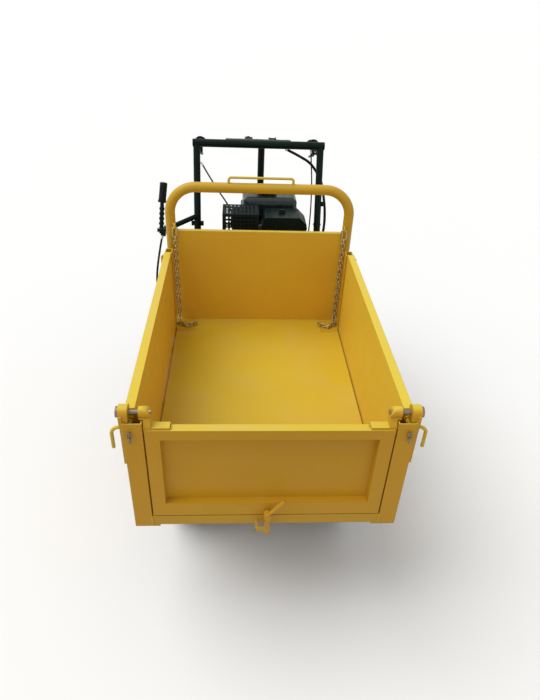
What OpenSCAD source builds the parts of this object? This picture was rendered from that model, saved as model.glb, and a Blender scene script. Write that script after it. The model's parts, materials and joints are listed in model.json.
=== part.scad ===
// Walk-behind concrete buggy with a forward-tipping drop-side skip.
// X across, Y from gate to operator, Z up, millimetres. Depths start at the gate face.

/* [Skip] */
// width across the corner posts
body_w = 700; // [660:5:760]
// gate face to headboard
body_len = 1000; // [960:5:1020]
// load floor above the ground
floor_z = 450; // [445:1:480]
// drop side height above the floor
side_h = 328; // [280:2:400]
// gate top below the side top
gate_drop = 28; // [24:1:32]
// headboard top above the side top
head_rise = 52; // [30:1:90]
// hoop top above the headboard top
hoop_rise = 174; // [150:1:200]
// depth of gate and side frames
panel_t = 24; // [22:0.5:26]
// sheet and tube wall
sheet_t = 3; // [2.5:0.1:3.5]
// gate and side stile width
stile_w = 35; // [30:1:42]
// gate bottom rail height
gate_foot = 46; // [42:1:60]
// front corner post width
post_w = 46; // [44:0.5:50]
// running gap round gate and sides
run_gap = 4; // [3:0.25:5]

/* [Hoop and chains] */
// hoop tube diameter
hoop_d = 37; // [34:0.5:38]
// hoop bend radius on the centre line
hoop_bend = 98; // [80:1:120]
// grab handle width
grab_w = 234; // [180:2:300]
// grab handle rod diameter
grab_d = 9; // [7:0.5:11]
// chain wire diameter
wire_d = 4.5; // [4:0.1:4.6]
// inside length of a chain link
link_in = 18; // [17.5:0.1:18.5]

/* [Latches] */
// gate pin diameter
gate_pin_d = 12; // [10:0.5:14]
// front latch bolt diameter
front_bolt_d = 14; // [12:0.5:15]
// rear latch bolt diameter
rear_bolt_d = 12; // [10:0.5:13]
// latch handle rod diameter
lever_rod_d = 9; // [7:0.5:10]
// gate latch arm reach
gate_arm = 70; // [60:1:85]
// gate latch tail length
gate_tail = 72; // [66:1:76]

/* [Chassis] */
// rail height
rail_h = 60; // [50:1:64]
// rail width
rail_w = 40; // [34:1:42]
// half spacing of the rails
rail_x = 150; // [148:1:152]
// depth of the tipping pins
tip_d = 300; // [290:1:310]
// tipping pin diameter
tip_pin_d = 20; // [16:0.5:24]

/* [Drive wheels] */
// tyre diameter over the lugs
tyre_od = 390; // [370:2:396]
// tyre width
tyre_w = 140; // [120:1:142]
// half track of the drive wheels
wheel_x = 252; // [248:1:256]
// depth of the drive axle
axle_d = 450; // [440:1:470]
// lugs in each row
lug_count = 14; // [10:1:18]

/* [Casters] */
// caster wheel diameter
caster_od = 220; // [200:2:224]
// caster tyre width
caster_w = 50; // [40:1:54]
// half spacing of the casters
caster_x = 235; // [230:1:240]
// swivel trail
caster_trail = 45; // [35:1:50]

/* [Engine and drive] */
// crankshaft height above the engine stand
crank_h = 106; // [104:1:110]
// fuel cap diameter
cap_d = 78; // [60:1:84]
// engine pulley diameter
drive_pulley_d = 80; // [70:1:84]
// gearbox pulley diameter
driven_pulley_d = 130; // [110:1:134]
// hole size in the muffler guard
guard_hole_d = 9; // [6:0.5:10]

/* [Handle frame] */
// upright tube diameter
tube_d = 28; // [25:0.5:29]
// half spacing of the uprights
upright_x = 250; // [248:1:253]
// crossbar height above the ground
bar_z = 1056; // [1050:1:1066]
// hand grip diameter
grip_d = 34; // [32:0.5:36]

/* [Hidden] */
$fn = 48;
front_y = -830;
yellow = "#d9a520";
black = "#202426";
zinc = "#b9bcc0";
alloy = "#8f9496";
rubber = "#2a2a2a";
fit = 0.3;

half_w = body_w / 2;
gate_h = side_h - gate_drop;
head_h = side_h + head_rise;
hoop_h = head_h + hoop_rise;
side_in = half_w - panel_t;
floor_half = side_in - run_gap;
gate_half = half_w - post_w - run_gap;
post_in = half_w - post_w;
post_top = floor_z + side_h - 7;
post_foot = floor_z - 42;
pin_y = 25;
pin_z = floor_z + gate_h + 38;
side_front = post_w + run_gap;
rear_front = body_len - 70;
rear_len = 40;
side_rear = rear_front - 6;
bolt_z = floor_z + side_h - 28;
bolt_x = half_w - 12;
front_travel = 22;
rear_travel = 16;
hinge_x = half_w + 2;
hinge_z = floor_z - 14;
hinge_r = 8;
hinge_pin = 8;
hinge_at = [for (k = [0:2]) side_front + 100 + k * (side_rear - side_front - 200) / 2];
sill_out = floor_half - 2;
sill_in = sill_out - 24;
sill_bot = floor_z - 42;
notch_x = floor_half - 70;
notch_d = body_len - 95;
leg_x = half_w - 16.5;
leg_d = body_len + 30;
sill_end = leg_d + 22;
eye_x = half_w - 36;
eye_d = body_len - 14;
eye_z = floor_z + head_h + 22;
latch_z = floor_z + 14;
latch_out = 15;

crank_d = body_len + 275;
rail_top = floor_z - 95;
rail_bot = rail_top - rail_h;
rail_front = tip_d - 25;
rail_rear = crank_d + 165;
chan_bot = floor_z - 45;
tip_z = rail_top + 27;
axle_z = tyre_od / 2;
shaft_z = axle_z + 45;
rim_r = 101;
caster_d = crank_d - 135;
caster_z = caster_od / 2;
deck_z = rail_top + 186;
crank_z = deck_z + crank_h;
driven_z = rail_top + 80;
pulley_x = -111;
guard_at = (drive_pulley_d + driven_pulley_d) / 4 + 11;
tank_z = crank_z + 133;
tank_top = tank_z + 97;
bar_d = crank_d + 82;
foot_d = crank_d - 148;
grip_end = crank_d + 416;
grip_drop = 79;
hook_d = crank_d - 177;
hook_z = rail_top + 27;
striker_d = sill_end + 16;
striker_z = floor_z - 25;
lever_z = floor_z + 335;
lever_d = crank_d - 167;

// Catmull-Rom points along a hand-laid route.
function spline(p, n) = [
    for (i = [0:len(p) - 2]) for (k = [0:n - 1])
    let (t = k / n, a = p[max(i - 1, 0)], b = p[i], c = p[i + 1], e = p[min(i + 2, len(p) - 1)])
    0.5 * (2 * b + (c - a) * t + (2 * a - 5 * b + 4 * c - e) * t * t + (3 * b - a - 3 * c + e) * t * t * t),
    p[len(p) - 1]
];
function unit(v) = v / norm(v);
function bar_at(d) = bar_z - (d - bar_d) * grip_drop / (grip_end - bar_d);
function upright_at(z) = foot_d + (z - rail_top) * (bar_d - foot_d) / (bar_z - rail_top);

throttle_route = [
    [tube_d / 2 + 3.5 - upright_x, upright_at(985), 985], [-200, crank_d + 15, 945],
    [-160, crank_d - 30, 898], [-128, crank_d - 57, 860], [-92, crank_d - 61, crank_z + 150],
    [-73, crank_d - 61, crank_z + 122], [-72, crank_d - 61, crank_z + 108.7]
];
loom_route = [
    [118, crank_d + 135, bar_z - 19.6], [121, crank_d + 135, bar_z - 32],
    [165, crank_d + 129, bar_z - 52], [214, crank_d + 119, bar_z - 78], [246, crank_d + 109, 943],
    [268, crank_d + 93, 905], [278, crank_d + 67, 860], [285, crank_d + 33, 802], [282, crank_d, 731],
    [262, crank_d - 19, 620], [222, crank_d - 19, 520], [197, crank_d - 16, 462],
    [183, crank_d - 15, 450], [171, crank_d - 15, 450]
];
clutch_route = [
    [212, bar_d, bar_z - tube_d / 2 - 1.8], [217, crank_d + 75, 990], [222, crank_d + 51, 915],
    [221, crank_d + 5, 800], [212, crank_d - 30, 660], [199, crank_d - 39, 575],
    [188, crank_d - 40, 514], [180, crank_d - 40, 500], [171, crank_d - 40, 500]
];
steer_route = [
    [upright_x, crank_d + 232.2, bar_z - 64], [upright_x, crank_d + 175, bar_z - 48],
    [upright_x, crank_d + 127, bar_z - 42], [upright_x, crank_d + 101, bar_z - 68],
    [250, crank_d + 79, 930], [250, crank_d + 16, 740], [248, crank_d - 43, 560],
    [215, crank_d - 69, 470], [184, crank_d - 74, 442], [171, crank_d - 75, 440]
];
dump_route = [
    [-378, crank_d - 171, lever_z - 18.3], [-388, crank_d - 199, 715], [-396, crank_d - 235, 662],
    [-398, crank_d - 263, 620], [-393, crank_d - 281, 582], [-382, crank_d - 285, 545],
    [-370, crank_d - 269, 505], [-345, crank_d - 213, 455], [-290, crank_d - 175, 420],
    [-190, crank_d - 165, 396], [-70, crank_d - 163, hook_z + 4], [-14.9, crank_d - 171, hook_z]
];
module place() translate([0, front_y, 0]) children();
module both() {
    children();
    mirror([1, 0, 0]) children();
}
module box(a, b) translate(a) cube(b - a);
module along_x(x, y, z, d, len) translate([x, y, z]) rotate([0, 90, 0]) cylinder(d = d, h = len);
module along_y(x, y, z, d, len) translate([x, y, z]) rotate([-90, 0, 0]) cylinder(d = d, h = len);
module rod(p, q, d) {
    v = q - p;
    translate(p) rotate([0, acos(v[2] / norm(v)), atan2(v[1], v[0])]) cylinder(d = d, h = norm(v));
}
module pipe(p, q, d, bore) {
    v = q - p;
    translate(p) rotate([0, acos(v[2] / norm(v)), atan2(v[1], v[0])])
        linear_extrude(norm(v)) difference() {
            circle(d = d);
            circle(d = bore);
        }
}
// Round bar through points with true bends of radius r.
module bent(p, d, r, bore = 0) {
    n = len(p);
    turn = [for (i = [0:n - 1]) (i == 0 || i == n - 1) ? 0
        : acos(unit(p[i] - p[i - 1]) * unit(p[i + 1] - p[i]))];
    for (i = [0:n - 2]) {
        u = unit(p[i + 1] - p[i]);
        a = p[i] + u * r * tan(turn[i] / 2);
        b = p[i + 1] - u * r * tan(turn[i + 1] / 2);
        if (bore > 0) pipe(a, b, d, bore);
        else rod(a, b, d);
    }
    for (i = [1:1:n - 2]) {
        u = unit(p[i] - p[i - 1]);
        v = unit(p[i + 1] - p[i]);
        c = p[i] + unit(v - u) * r / cos(turn[i] / 2);
        e = unit(p[i] - u * r * tan(turn[i] / 2) - c);
        w = cross(e, u);
        multmatrix([[e[0], u[0], w[0], c[0]], [e[1], u[1], w[1], c[1]], [e[2], u[2], w[2], c[2]]])
            rotate_extrude(angle = turn[i]) translate([r, 0]) difference() {
                circle(d = d);
                if (bore > 0) circle(d = bore);
            }
    }
}
// Sheathed cable swept along a route.
module cable(route, d, n, ref = [0.2, 0.9, 0.35]) {
    p = spline(route, n);
    m = len(p);
    k = 8;
    t = [for (i = [0:m - 1]) unit(p[min(i + 1, m - 1)] - p[max(i - 1, 0)])];
    pts = [for (i = [0:m - 1]) let (s = unit(cross(t[i], ref)), b = cross(t[i], s))
        for (j = [0:k - 1]) p[i] + d / 2 * (cos(360 * j / k) * s + sin(360 * j / k) * b)];
    wall = [for (i = [0:m - 2]) for (j = [0:k - 1]) let (g = (j + 1) % k, a = i * k, b = a + k)
        each [[a + j, b + g, a + g], [a + j, b + j, b + g]]];
    caps = [for (j = [1:k - 2]) each [[0, j, j + 1], [(m - 1) * k, (m - 1) * k + j + 1, (m - 1) * k + j]]];
    polyhedron(points = pts, faces = concat(wall, caps));
}
// Open-bottomed folded sill between two corners.
module folded(a, b) difference() {
    box(a, b);
    box([a[0] + sheet_t, a[1] + sheet_t, a[2] - 1], [b[0] - sheet_t, b[1] - sheet_t, b[2] - sheet_t]);
}
module ring_profile(a, b, r) {
    translate([a[0] + r, a[1]]) square([b[0] - a[0] - 2 * r, b[1] - a[1]]);
    translate([a[0], a[1] + r]) square([b[0] - a[0], b[1] - a[1] - 2 * r]);
    for (x = [a[0] + r, b[0] - r]) for (y = [a[1] + r, b[1] - r]) translate([x, y]) circle(r = r);
}
// Rounded block, rounded in the plane across X.
module slab_x(a, b, r) translate([a[0], 0, 0]) rotate([90, 0, 90])
    linear_extrude(b[0] - a[0]) ring_profile([a[1], a[2]], [b[1], b[2]], r);
module slab_y(a, b, r) translate([0, b[1], 0]) rotate([90, 0, 0])
    linear_extrude(b[1] - a[1]) ring_profile([a[0], a[2]], [b[0], b[2]], r);
module slab_z(a, b, r) translate([0, 0, a[2]])
    linear_extrude(b[2] - a[2]) ring_profile([a[0], a[1]], [b[0], b[1]], r);

module floor_pan() color(yellow) place() {
    translate([0, 0, floor_z - sheet_t]) linear_extrude(sheet_t) difference() {
        translate([-floor_half, panel_t + 2]) square([2 * floor_half, body_len - panel_t - 2.3]);
        for (s = [-1, 1]) {
            translate([s > 0 ? post_in - fit : -post_in + fit - post_w, 0]) square([post_w, post_w + 1]);
            translate([s > 0 ? notch_x : -notch_x - 80, notch_d]) square([80, 200]);
        }
    }
    folded([fit - post_in, 0.5, floor_z - 36], [post_in - fit, 40, floor_z - sheet_t]);
    both() folded([sill_in, post_w + 0.5, sill_bot], [sill_out, body_len, floor_z - sheet_t]);
    folded([-half_w, body_len, sill_bot], [half_w, sill_end, floor_z - sheet_t]);
    both() box([sill_in, side_rear + 4, sill_bot], [half_w, body_len + 1, sill_bot + 6]);
    both() box([half_w - 6, side_rear + 4, sill_bot], [half_w, body_len + 1, floor_z - sheet_t]);
    both() for (h = hinge_at) difference() {
        union() {
            box([sill_out - 1, h - 14, hinge_z - 22], [hinge_x + 6, h + 14, hinge_z - 16]);
            box([hinge_x - 6, h - 14, hinge_z - 22], [hinge_x + 6, h + 14, hinge_z]);
            along_y(hinge_x, h - 14, hinge_z, 2 * hinge_r, 28);
        }
        along_y(hinge_x, h - 20, hinge_z, hinge_pin + 0.2, 40);
    }
    // hooked keeper for the gate latch
    box([-32, -31, floor_z - 28], [-26, 1, floor_z - 16]);
    box([-32, -31, floor_z - 28], [-9, -26, floor_z - 16]);
    // striker for the dump catch
    for (x = [-34, 28]) box([x, sill_end - 1, floor_z - 40], [x + 6, sill_end + 24, floor_z - 10]);
    along_x(-29, striker_d, striker_z, 12, 58);
}

module skip_subframe() color(yellow) place() both() {
    difference() {
        box([rail_x - 20, 60, chan_bot], [rail_x + 20, body_len - 2, floor_z - sheet_t]);
        box([rail_x - 17, 59, chan_bot + 3], [rail_x + 17, body_len, floor_z - sheet_t - 3]);
    }
    for (d = [tip_d + 90, 680]) box([-1, d, chan_bot + 8], [rail_x - 19, d + 40, chan_bot + 11]);
    for (d = [tip_d + 90, 680]) box([-1, d, chan_bot + 8], [rail_x - 19, d + 3, floor_z - sheet_t]);
    difference() {
        union() {
            box([rail_x - 8, tip_d - 28, tip_z], [rail_x + 8, tip_d + 28, chan_bot + 1]);
            along_x(rail_x - 8, tip_d, tip_z, 44, 16);
        }
        along_x(rail_x - 10, tip_d, tip_z, tip_pin_d + 0.2, 20);
    }
}

module front_post() {
    difference() {
        union() {
            difference() {
                box([post_in, 0, post_foot], [half_w, post_w, post_top]);
                box([post_in + 3, 3, post_foot + 12], [half_w - 3, post_w - 3, post_top + 1]);
            }
            box([post_in - 19, 0, post_foot], [half_w, post_w, floor_z - 36.3]);
            box([half_w - 0.5, 3, floor_z + side_h * 0.58], [half_w + 6, post_w - 3, pin_z]);
            along_x(half_w - 14, pin_y, pin_z, 38, 22);
            box([half_w - 14, pin_y - 19, post_top - 9], [half_w + 8, pin_y + 19, pin_z]);
            along_y(bolt_x, post_w - 8, bolt_z, front_bolt_d + 8, 6);
        }
        along_x(half_w - 20, pin_y, pin_z, gate_pin_d + 0.3, 40);
        along_y(bolt_x, post_w - 12, bolt_z, front_bolt_d + 0.4, 20);
        box([bolt_x, 8.5, bolt_z - 6.5], [half_w + 10, 14 + front_travel + 5.5, bolt_z + 6.5]);
    }
}
module rear_post() difference() {
    box([half_w - 26, rear_front, floor_z], [half_w, rear_front + rear_len, post_top]);
    box([half_w - 23, rear_front + 3, floor_z + 3], [half_w - 3, rear_front + rear_len - 3, post_top + 1]);
    along_y(half_w - 13, rear_front - 1, bolt_z, rear_bolt_d + 0.4, 6);
    box([half_w - 5, rear_front + 3.5, bolt_z - 6], [half_w + 1, rear_front + 31, bolt_z + 6]);
}
module corner_posts() color(yellow) place() both() {
    front_post();
    rear_post();
}

module headboard() color(yellow) place() {
    w = leg_x - hoop_d / 2 - 0.4;
    box([-w, body_len, floor_z - sheet_t], [w, body_len + sheet_t, floor_z + head_h]);
    box([-w, body_len, floor_z + head_h - sheet_t], [w, body_len + 18, floor_z + head_h]);
    both() box([w - sheet_t, body_len, floor_z], [w, body_len + 34, floor_z + head_h]);
    both() difference() {
        box([92, body_len + 2, floor_z - sheet_t], [132, body_len + 18, floor_z + head_h - 40]);
        box([92 + sheet_t, body_len + 2, floor_z - 10],
            [132 - sheet_t, body_len + 18 - sheet_t, floor_z + head_h]);
    }
}

module hoop() color(yellow) place() {
    z = floor_z + hoop_h - hoop_d / 2;
    bent([[-leg_x, leg_d, floor_z], [-leg_x, leg_d, z], [leg_x, leg_d, z], [leg_x, leg_d, floor_z]],
        hoop_d, hoop_bend, hoop_d - 6);
    both() {
        box([notch_x + fit, notch_d + fit, floor_z - sheet_t], [floor_half, body_len - fit, floor_z]);
        box([floor_half - 1, side_rear + 4, floor_z - sheet_t], [half_w, body_len - fit, floor_z]);
        box([leg_x - hoop_d / 2, body_len - 1, floor_z - sheet_t], [half_w, sill_end, floor_z]);
        // eye for the chain
        translate([eye_x, eye_d, eye_z]) rotate([0, 90, 0]) rotate_extrude() translate([9, 0]) circle(d = 6);
        rod([eye_x, eye_d + 8, eye_z], [leg_x - 8, leg_d - 10, eye_z], 8);
    }
}

module grab_handle() color(yellow) place() {
    z = floor_z + hoop_h + 0.1;
    w = grab_w / 2;
    bent([[-w, leg_d, z], [-w, leg_d, z + 19], [w, leg_d, z + 19], [w, leg_d, z]], grab_d, 10);
}

// One oval link lying in the XZ plane, long way up.
module link(wire, len_in, wide_in) {
    r = (wide_in + wire) / 2;
    c = (len_in - wide_in) / 2;
    for (s = [0, 180]) rotate([0, s, 0]) {
        translate([0, 0, c]) rotate([90, 0, 0]) rotate_extrude(angle = 180)
            translate([r, 0]) circle(d = wire);
        translate([r, 0, -c]) cylinder(d = wire, h = 2 * c);
    }
}
// Lying links turn only within their own plane, so neighbours stay hooked without touching.
function heading(k, from, sense) = from + sense * [0, 0, 52, 52, 112, 112, 170][k];
function aim(h, dip) = [cos(h) * cos(dip), sin(h) * cos(dip), -sin(dip)];
module chain() {
    top = eye_z - 5.8;
    big = 34;
    first = top - big + 0.2 - link_in / 2;
    step = link_in - 0.2;
    count = floor((first - floor_z - 19.9) / step);
    last = first - count * step;
    from = count % 2 == 0 ? -90 : 180;
    sense = count % 2 == 0 ? -1 : 1;
    long = (link_in + wire_d) / 2;
    hook = (link_in - wire_d) / 2 - 0.2;
    dip = asin(min(1, (last - floor_z - hook - 8.5) / (2 * long)));
    start = [eye_x, eye_d, last - hook] + long * aim(from, dip);
    translate([eye_x, eye_d, top - big / 2]) link(5.5, big, 12);
    for (i = [0:count]) translate([eye_x, eye_d, first - i * step])
        rotate([0, 0, i % 2 == 0 ? 90 : 0]) link(wire_d, link_in, 7);
    for (k = [0:6]) {
        h = heading(k, from, sense);
        lay = [for (j = [1:1:k]) long * aim(heading(j - 1, from, sense), j == 1 ? dip : 0)
            + hook * aim(heading(j, from, sense), 0)];
        at = start + (k == 0 ? [0, 0, 0] : [for (j = [1:1:k]) 1] * lay);
        translate(at) rotate([0, 0, h]) rotate([0, k == 0 ? 90 + dip : 90, 0])
            rotate([0, 0, k % 2 == 0 ? 90 : 0]) link(wire_d, link_in, 7);
    }
}
module chain_left() color(zinc) place() chain();
module chain_right() color(zinc) place() mirror([1, 0, 0]) chain();

module gate_pins() color(zinc) place() both() {
    along_x(half_w - 67, pin_y, pin_z, gate_pin_d, 82);
    along_x(half_w + 9, pin_y, pin_z, 27, 6);
    // clip hung from a peg on the post face
    peg_z = floor_z + side_h - 34;
    along_y(half_w - 16, -10, peg_z, 5, 10);
    translate([half_w - 16, -6.8, peg_z - 4.3]) link(3, 14, 6);
    translate([half_w - 16, -6.8, peg_z - 18.1]) rotate([0, 0, 90]) link(3, 14, 6);
}
module side_pins() color(zinc) place() both() for (h = hinge_at) {
    along_y(hinge_x, h - 36, hinge_z, hinge_pin, 72);
    along_y(hinge_x, h - 38, hinge_z, 13, 3);
    along_y(hinge_x, h + 35, hinge_z, 13, 3);
}

module ear() intersection() {
    translate([0, 60, 0]) rotate([90, 0, 0]) linear_extrude(80) difference() {
        union() {
            translate([gate_half - 16, floor_z + gate_h - 1]) square([18, 30]);
            translate([gate_half - 16, pin_z - 14]) square([28, 28]);
            translate([gate_half - 60, floor_z + gate_h - 1]) square([50, 7]);
        }
        difference() {
            translate([gate_half - 17, pin_z - 8]) square([23, 23]);
            translate([gate_half + 6, pin_z - 8]) circle(r = 22);
        }
    }
    translate([gate_half - 70, 0, 0]) rotate([90, 0, 90]) linear_extrude(100) union() {
        translate([pin_y, pin_z]) circle(r = 14);
        polygon([[3, floor_z + gate_h - 2], [panel_t, floor_z + gate_h - 2], [pin_y + 10, pin_z - 9],
            [pin_y - 10, pin_z - 9], [3, floor_z + gate_h + 8]]);
    }
}
module front_gate() color(yellow) place() difference() {
    union() {
        difference() {
            box([-gate_half, 0, floor_z + 0.5], [gate_half, panel_t, floor_z + gate_h]);
            box([-gate_half + stile_w, -1, floor_z + gate_foot],
                [gate_half - stile_w, panel_t - sheet_t, floor_z + gate_h - stile_w + 5]);
        }
        both() ear();
    }
    both() along_x(gate_half - 40, pin_y, pin_z, gate_pin_d + 0.4, 80);
    along_y(0, -1, latch_z, 12.6, 20);
}
module gate_latch() color(yellow) place() {
    along_y(0, -latch_out - 8, latch_z, 12, latch_out + 26);
    along_y(0, -latch_out - 10, latch_z, 20, 20);
    rod([0, -latch_out, latch_z], [gate_arm * 0.61, -latch_out, latch_z + gate_arm * 0.79], 11);
    rod([0, -latch_out, latch_z], [0, -latch_out, latch_z - gate_tail], 14);
}

module side_wall() difference() {
    union() {
        difference() {
            box([side_in, side_front, hinge_z - 8], [half_w, side_rear, floor_z + side_h]);
            for (k = [0:2]) {
                bay = (side_rear - side_front - stile_w) / 3;
                box([side_in + sheet_t, side_front + stile_w + k * bay, floor_z + 34],
                    [half_w + 1, side_front + (k + 1) * bay, floor_z + side_h - 38]);
            }
        }
        for (h = hinge_at) for (s = [-34, 15.3]) along_y(hinge_x, h + s, hinge_z, 2 * hinge_r, 18.7);
    }
    for (h = hinge_at) {
        box([hinge_x - 11, h - 14.6, hinge_z - 12], [hinge_x + 10, h + 14.6, hinge_z + 11]);
        along_y(hinge_x, h - 40, hinge_z, hinge_pin + 0.4, 80);
        for (s = [-39, 34.4]) along_y(hinge_x, h + s, hinge_z, 14, 4.6);
    }
    along_y(bolt_x, side_front - 1, bolt_z, front_bolt_d + 1, 26);
    along_y(half_w - 13, side_rear - 20, bolt_z, rear_bolt_d + 1, 21);
}
module side_left() color(yellow) place() side_wall();
module side_right() color(yellow) place() mirror([1, 0, 0]) side_wall();

module front_latch() {
    along_y(bolt_x, 6, bolt_z, front_bolt_d, post_w - 6.3);
    bent([[bolt_x, 14, bolt_z], [half_w + 29, 14, bolt_z], [half_w + 29, 14, bolt_z - 64]], lever_rod_d, 20);
}
module rear_latch() {
    along_y(half_w - 13, rear_front + 0.3, bolt_z, rear_bolt_d, 32);
    bent([[half_w - 13, rear_front + 25, bolt_z], [half_w + 15, rear_front + 25, bolt_z],
        [half_w + 15, rear_front + 25, bolt_z - 56]], 8, 9);
}
module front_latch_left() color(yellow) place() front_latch();
module front_latch_right() color(yellow) place() mirror([1, 0, 0]) front_latch();
module rear_latch_left() color(yellow) place() rear_latch();
module rear_latch_right() color(yellow) place() mirror([1, 0, 0]) rear_latch();

module chassis() color(black) place() {
    both() difference() {
        box([rail_x - rail_w / 2, rail_front, rail_bot], [rail_x + rail_w / 2, rail_rear, rail_top]);
        box([rail_x - rail_w / 2 + 4, rail_front - 1, rail_bot + 4],
            [rail_x + rail_w / 2 - 4, rail_rear + 1, rail_top - 4]);
    }
    in = rail_x - rail_w / 2 + 1;
    for (d = [[360, 400], [740, 780], [crank_d + 125, crank_d + 165]]) difference() {
        box([-in, d[0], rail_bot + 8], [in, d[1], rail_top]);
        box([-in - 1, d[0] + 4, rail_bot + 12], [in + 1, d[1] - 4, rail_top - 4]);
    }
    both() {
        for (x = [rail_x - 16, rail_x + 16]) difference() {
            union() {
                box([x - 4, tip_d - 22, rail_top - 1], [x + 4, tip_d + 30, tip_z]);
                along_x(x - 4, tip_d, tip_z, 44, 8);
            }
            along_x(x - 6, tip_d, tip_z, tip_pin_d + 0.1, 12);
        }
        // outrigger that carries caster and upright
        difference() {
            union() {
                difference() {
                    box([rail_x + rail_w / 2 - 1, caster_d - 36, rail_bot],
                        [caster_x + 50, caster_d + 36, rail_top]);
                    box([rail_x + rail_w / 2, caster_d - 32, rail_bot + 4],
                        [caster_x + 51, caster_d + 32, rail_top - 4]);
                }
                translate([caster_x, caster_d, rail_bot]) cylinder(d = 44, h = rail_h);
            }
            translate([caster_x, caster_d, rail_bot - 1]) cylinder(d = 20.6, h = rail_h - 5);
        }
        // tie-down lug under the rail
        difference() {
            union() {
                box([rail_x - 6, 774, rail_bot - 25], [rail_x + 6, 826, rail_bot + 1]);
                along_x(rail_x - 6, 800, rail_bot - 25, 52, 12);
            }
            along_x(rail_x - 8, 800, rail_bot - 25, 22, 16);
        }
    }
    difference() {
        box([-in, caster_d - 36, rail_bot], [in, caster_d + 20, rail_top]);
        box([-in - 1, caster_d - 32, rail_bot + 4], [in + 1, caster_d + 16, rail_top - 4]);
    }
    // ears and pin of the dump catch
    for (x = [-14, 7.3]) box([x, hook_d - 16, rail_top - 1], [x + 6.7, hook_d + 16, hook_z + 14]);
    along_x(-9, hook_d, hook_z, 10, 18);
}
module tip_pins() color(zinc) place() both() {
    along_x(rail_x - 24, tip_d, tip_z, tip_pin_d, 48);
    for (x = [rail_x - 25.3, rail_x + 20.3]) along_x(x, tip_d, tip_z, tip_pin_d + 10, 5);
}
module rest_buffers() color(rubber) place() both()
    translate([rail_x, body_len - 120, rail_top]) cylinder(d1 = 40, d2 = 30, h = chan_bot - rail_top - fit);

module engine_stand() color(black) place() {
    difference() {
        box([-170, crank_d - 105, deck_z - 6], [170, crank_d + 120, deck_z]);
        box([pulley_x - 25, crank_d - guard_at - 4, deck_z - 9],
            [pulley_x + 27, crank_d + guard_at + 4, deck_z + 3]);
    }
    both() difference() {
        box([164, crank_d - 105, rail_top], [170, crank_d + 120, deck_z]);
        slab_x([160, crank_d + 15, rail_top + 40], [175, crank_d + 100, deck_z - 30], 18);
    }
    both() box([rail_x + 1, crank_d - 105, rail_top], [170, crank_d + 120, rail_top + 5]);
}

module axle_case() color(black) place() difference() {
    union() {
        along_x(-62, axle_d, axle_z, 170, 124);
        both() translate([62, axle_d, axle_z]) rotate([0, 90, 0]) cylinder(d1 = 120, d2 = 62, h = 40);
        both() along_x(100, axle_d, axle_z, 62, 68);
        along_y(0, axle_d + 30, shaft_z, 84, 92);
        both() box([rail_x - 18, axle_d - 30, axle_z + 10], [rail_x + 17, axle_d + 30, rail_bot]);
    }
    both() along_x(104, axle_d, axle_z, 30.4, 70);
    along_y(0, axle_d + 96, shaft_z, 24.4, 40);
}
module drive_shaft() color(black) place() {
    along_y(0, axle_d + 98, shaft_z, 24, 30);
    along_y(0, axle_d + 126, shaft_z, 72, 14);
    along_y(0, axle_d + 139, shaft_z, 36, crank_d - 127 - axle_d - 139);
    along_y(0, crank_d - 129, shaft_z, 72, 14);
    along_y(0, crank_d - 117, shaft_z, 24, 34);
}
module gearbox() color(alloy) place() difference() {
    union() {
        slab_x([-78, crank_d - 64, driven_z - 66], [78, crank_d + 64, driven_z + 62], 58);
        slab_x([-70, crank_d - 62, shaft_z - 50], [70, crank_d + 60, driven_z - 20], 30);
        along_y(0, crank_d - 109, shaft_z, 84, 60);
        for (d = [crank_d - 89, crank_d + 71]) box([-rail_x, d, rail_top], [rail_x, d + 14, rail_top + 12]);
        for (d = [crank_d - 89, crank_d + 55]) box([-60, d, rail_top - 20], [60, d + 30, rail_top + 12]);
        for (x = [-52, -26, 0, 26, 52])
            box([x - 3, crank_d - 68, shaft_z - 30], [x + 3, crank_d + 66, driven_z - 40]);
    }
    along_x(-80, crank_d, driven_z, 20.4, 24);
    along_y(0, crank_d - 115, shaft_z, 24.4, 40);
}

module hub() {
    along_x(108, axle_d, axle_z, 30, 70);
    along_x(172, axle_d, axle_z, 78, 76);
    along_x(wheel_x - 6, axle_d, axle_z, 128, 8);
    along_x(wheel_x, axle_d, axle_z, 58, 24);
    for (k = [0:4]) translate([wheel_x, axle_d, axle_z]) rotate([72 * k + 90, 0, 0]) {
        translate([0, 46, 0]) rotate([0, 90, 0]) cylinder(d = 11, h = 22);
        translate([8.6, 46, 0]) rotate([0, 90, 0]) cylinder(d = 19, h = 9, $fn = 6);
    }
}
module rim() translate([wheel_x, axle_d, axle_z]) rotate([0, 90, 0]) {
    rotate_extrude() polygon([[94, -64], [112, -64], [112, -60.4], [rim_r - 0.2, -56], [rim_r - 0.2, 56],
        [112, 60.4], [112, 64], [94, 64], [94, 60], [97, 52], [97, -52], [94, -60]]);
    difference() {
        rotate_extrude() polygon([[30, 2.3], [70, 2.3], [82, 12], [98, 12],
            [98, 18], [79, 18], [68, 8.3], [30, 8.3]]);
        for (k = [0:4]) rotate([0, 0, 72 * k]) translate([-46, 0, 0]) cylinder(d = 12, h = 20);
        for (k = [0:4]) rotate([0, 0, 72 * k + 36]) translate([-75, 0, -5]) cylinder(d = 22, h = 40);
    }
}
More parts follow.
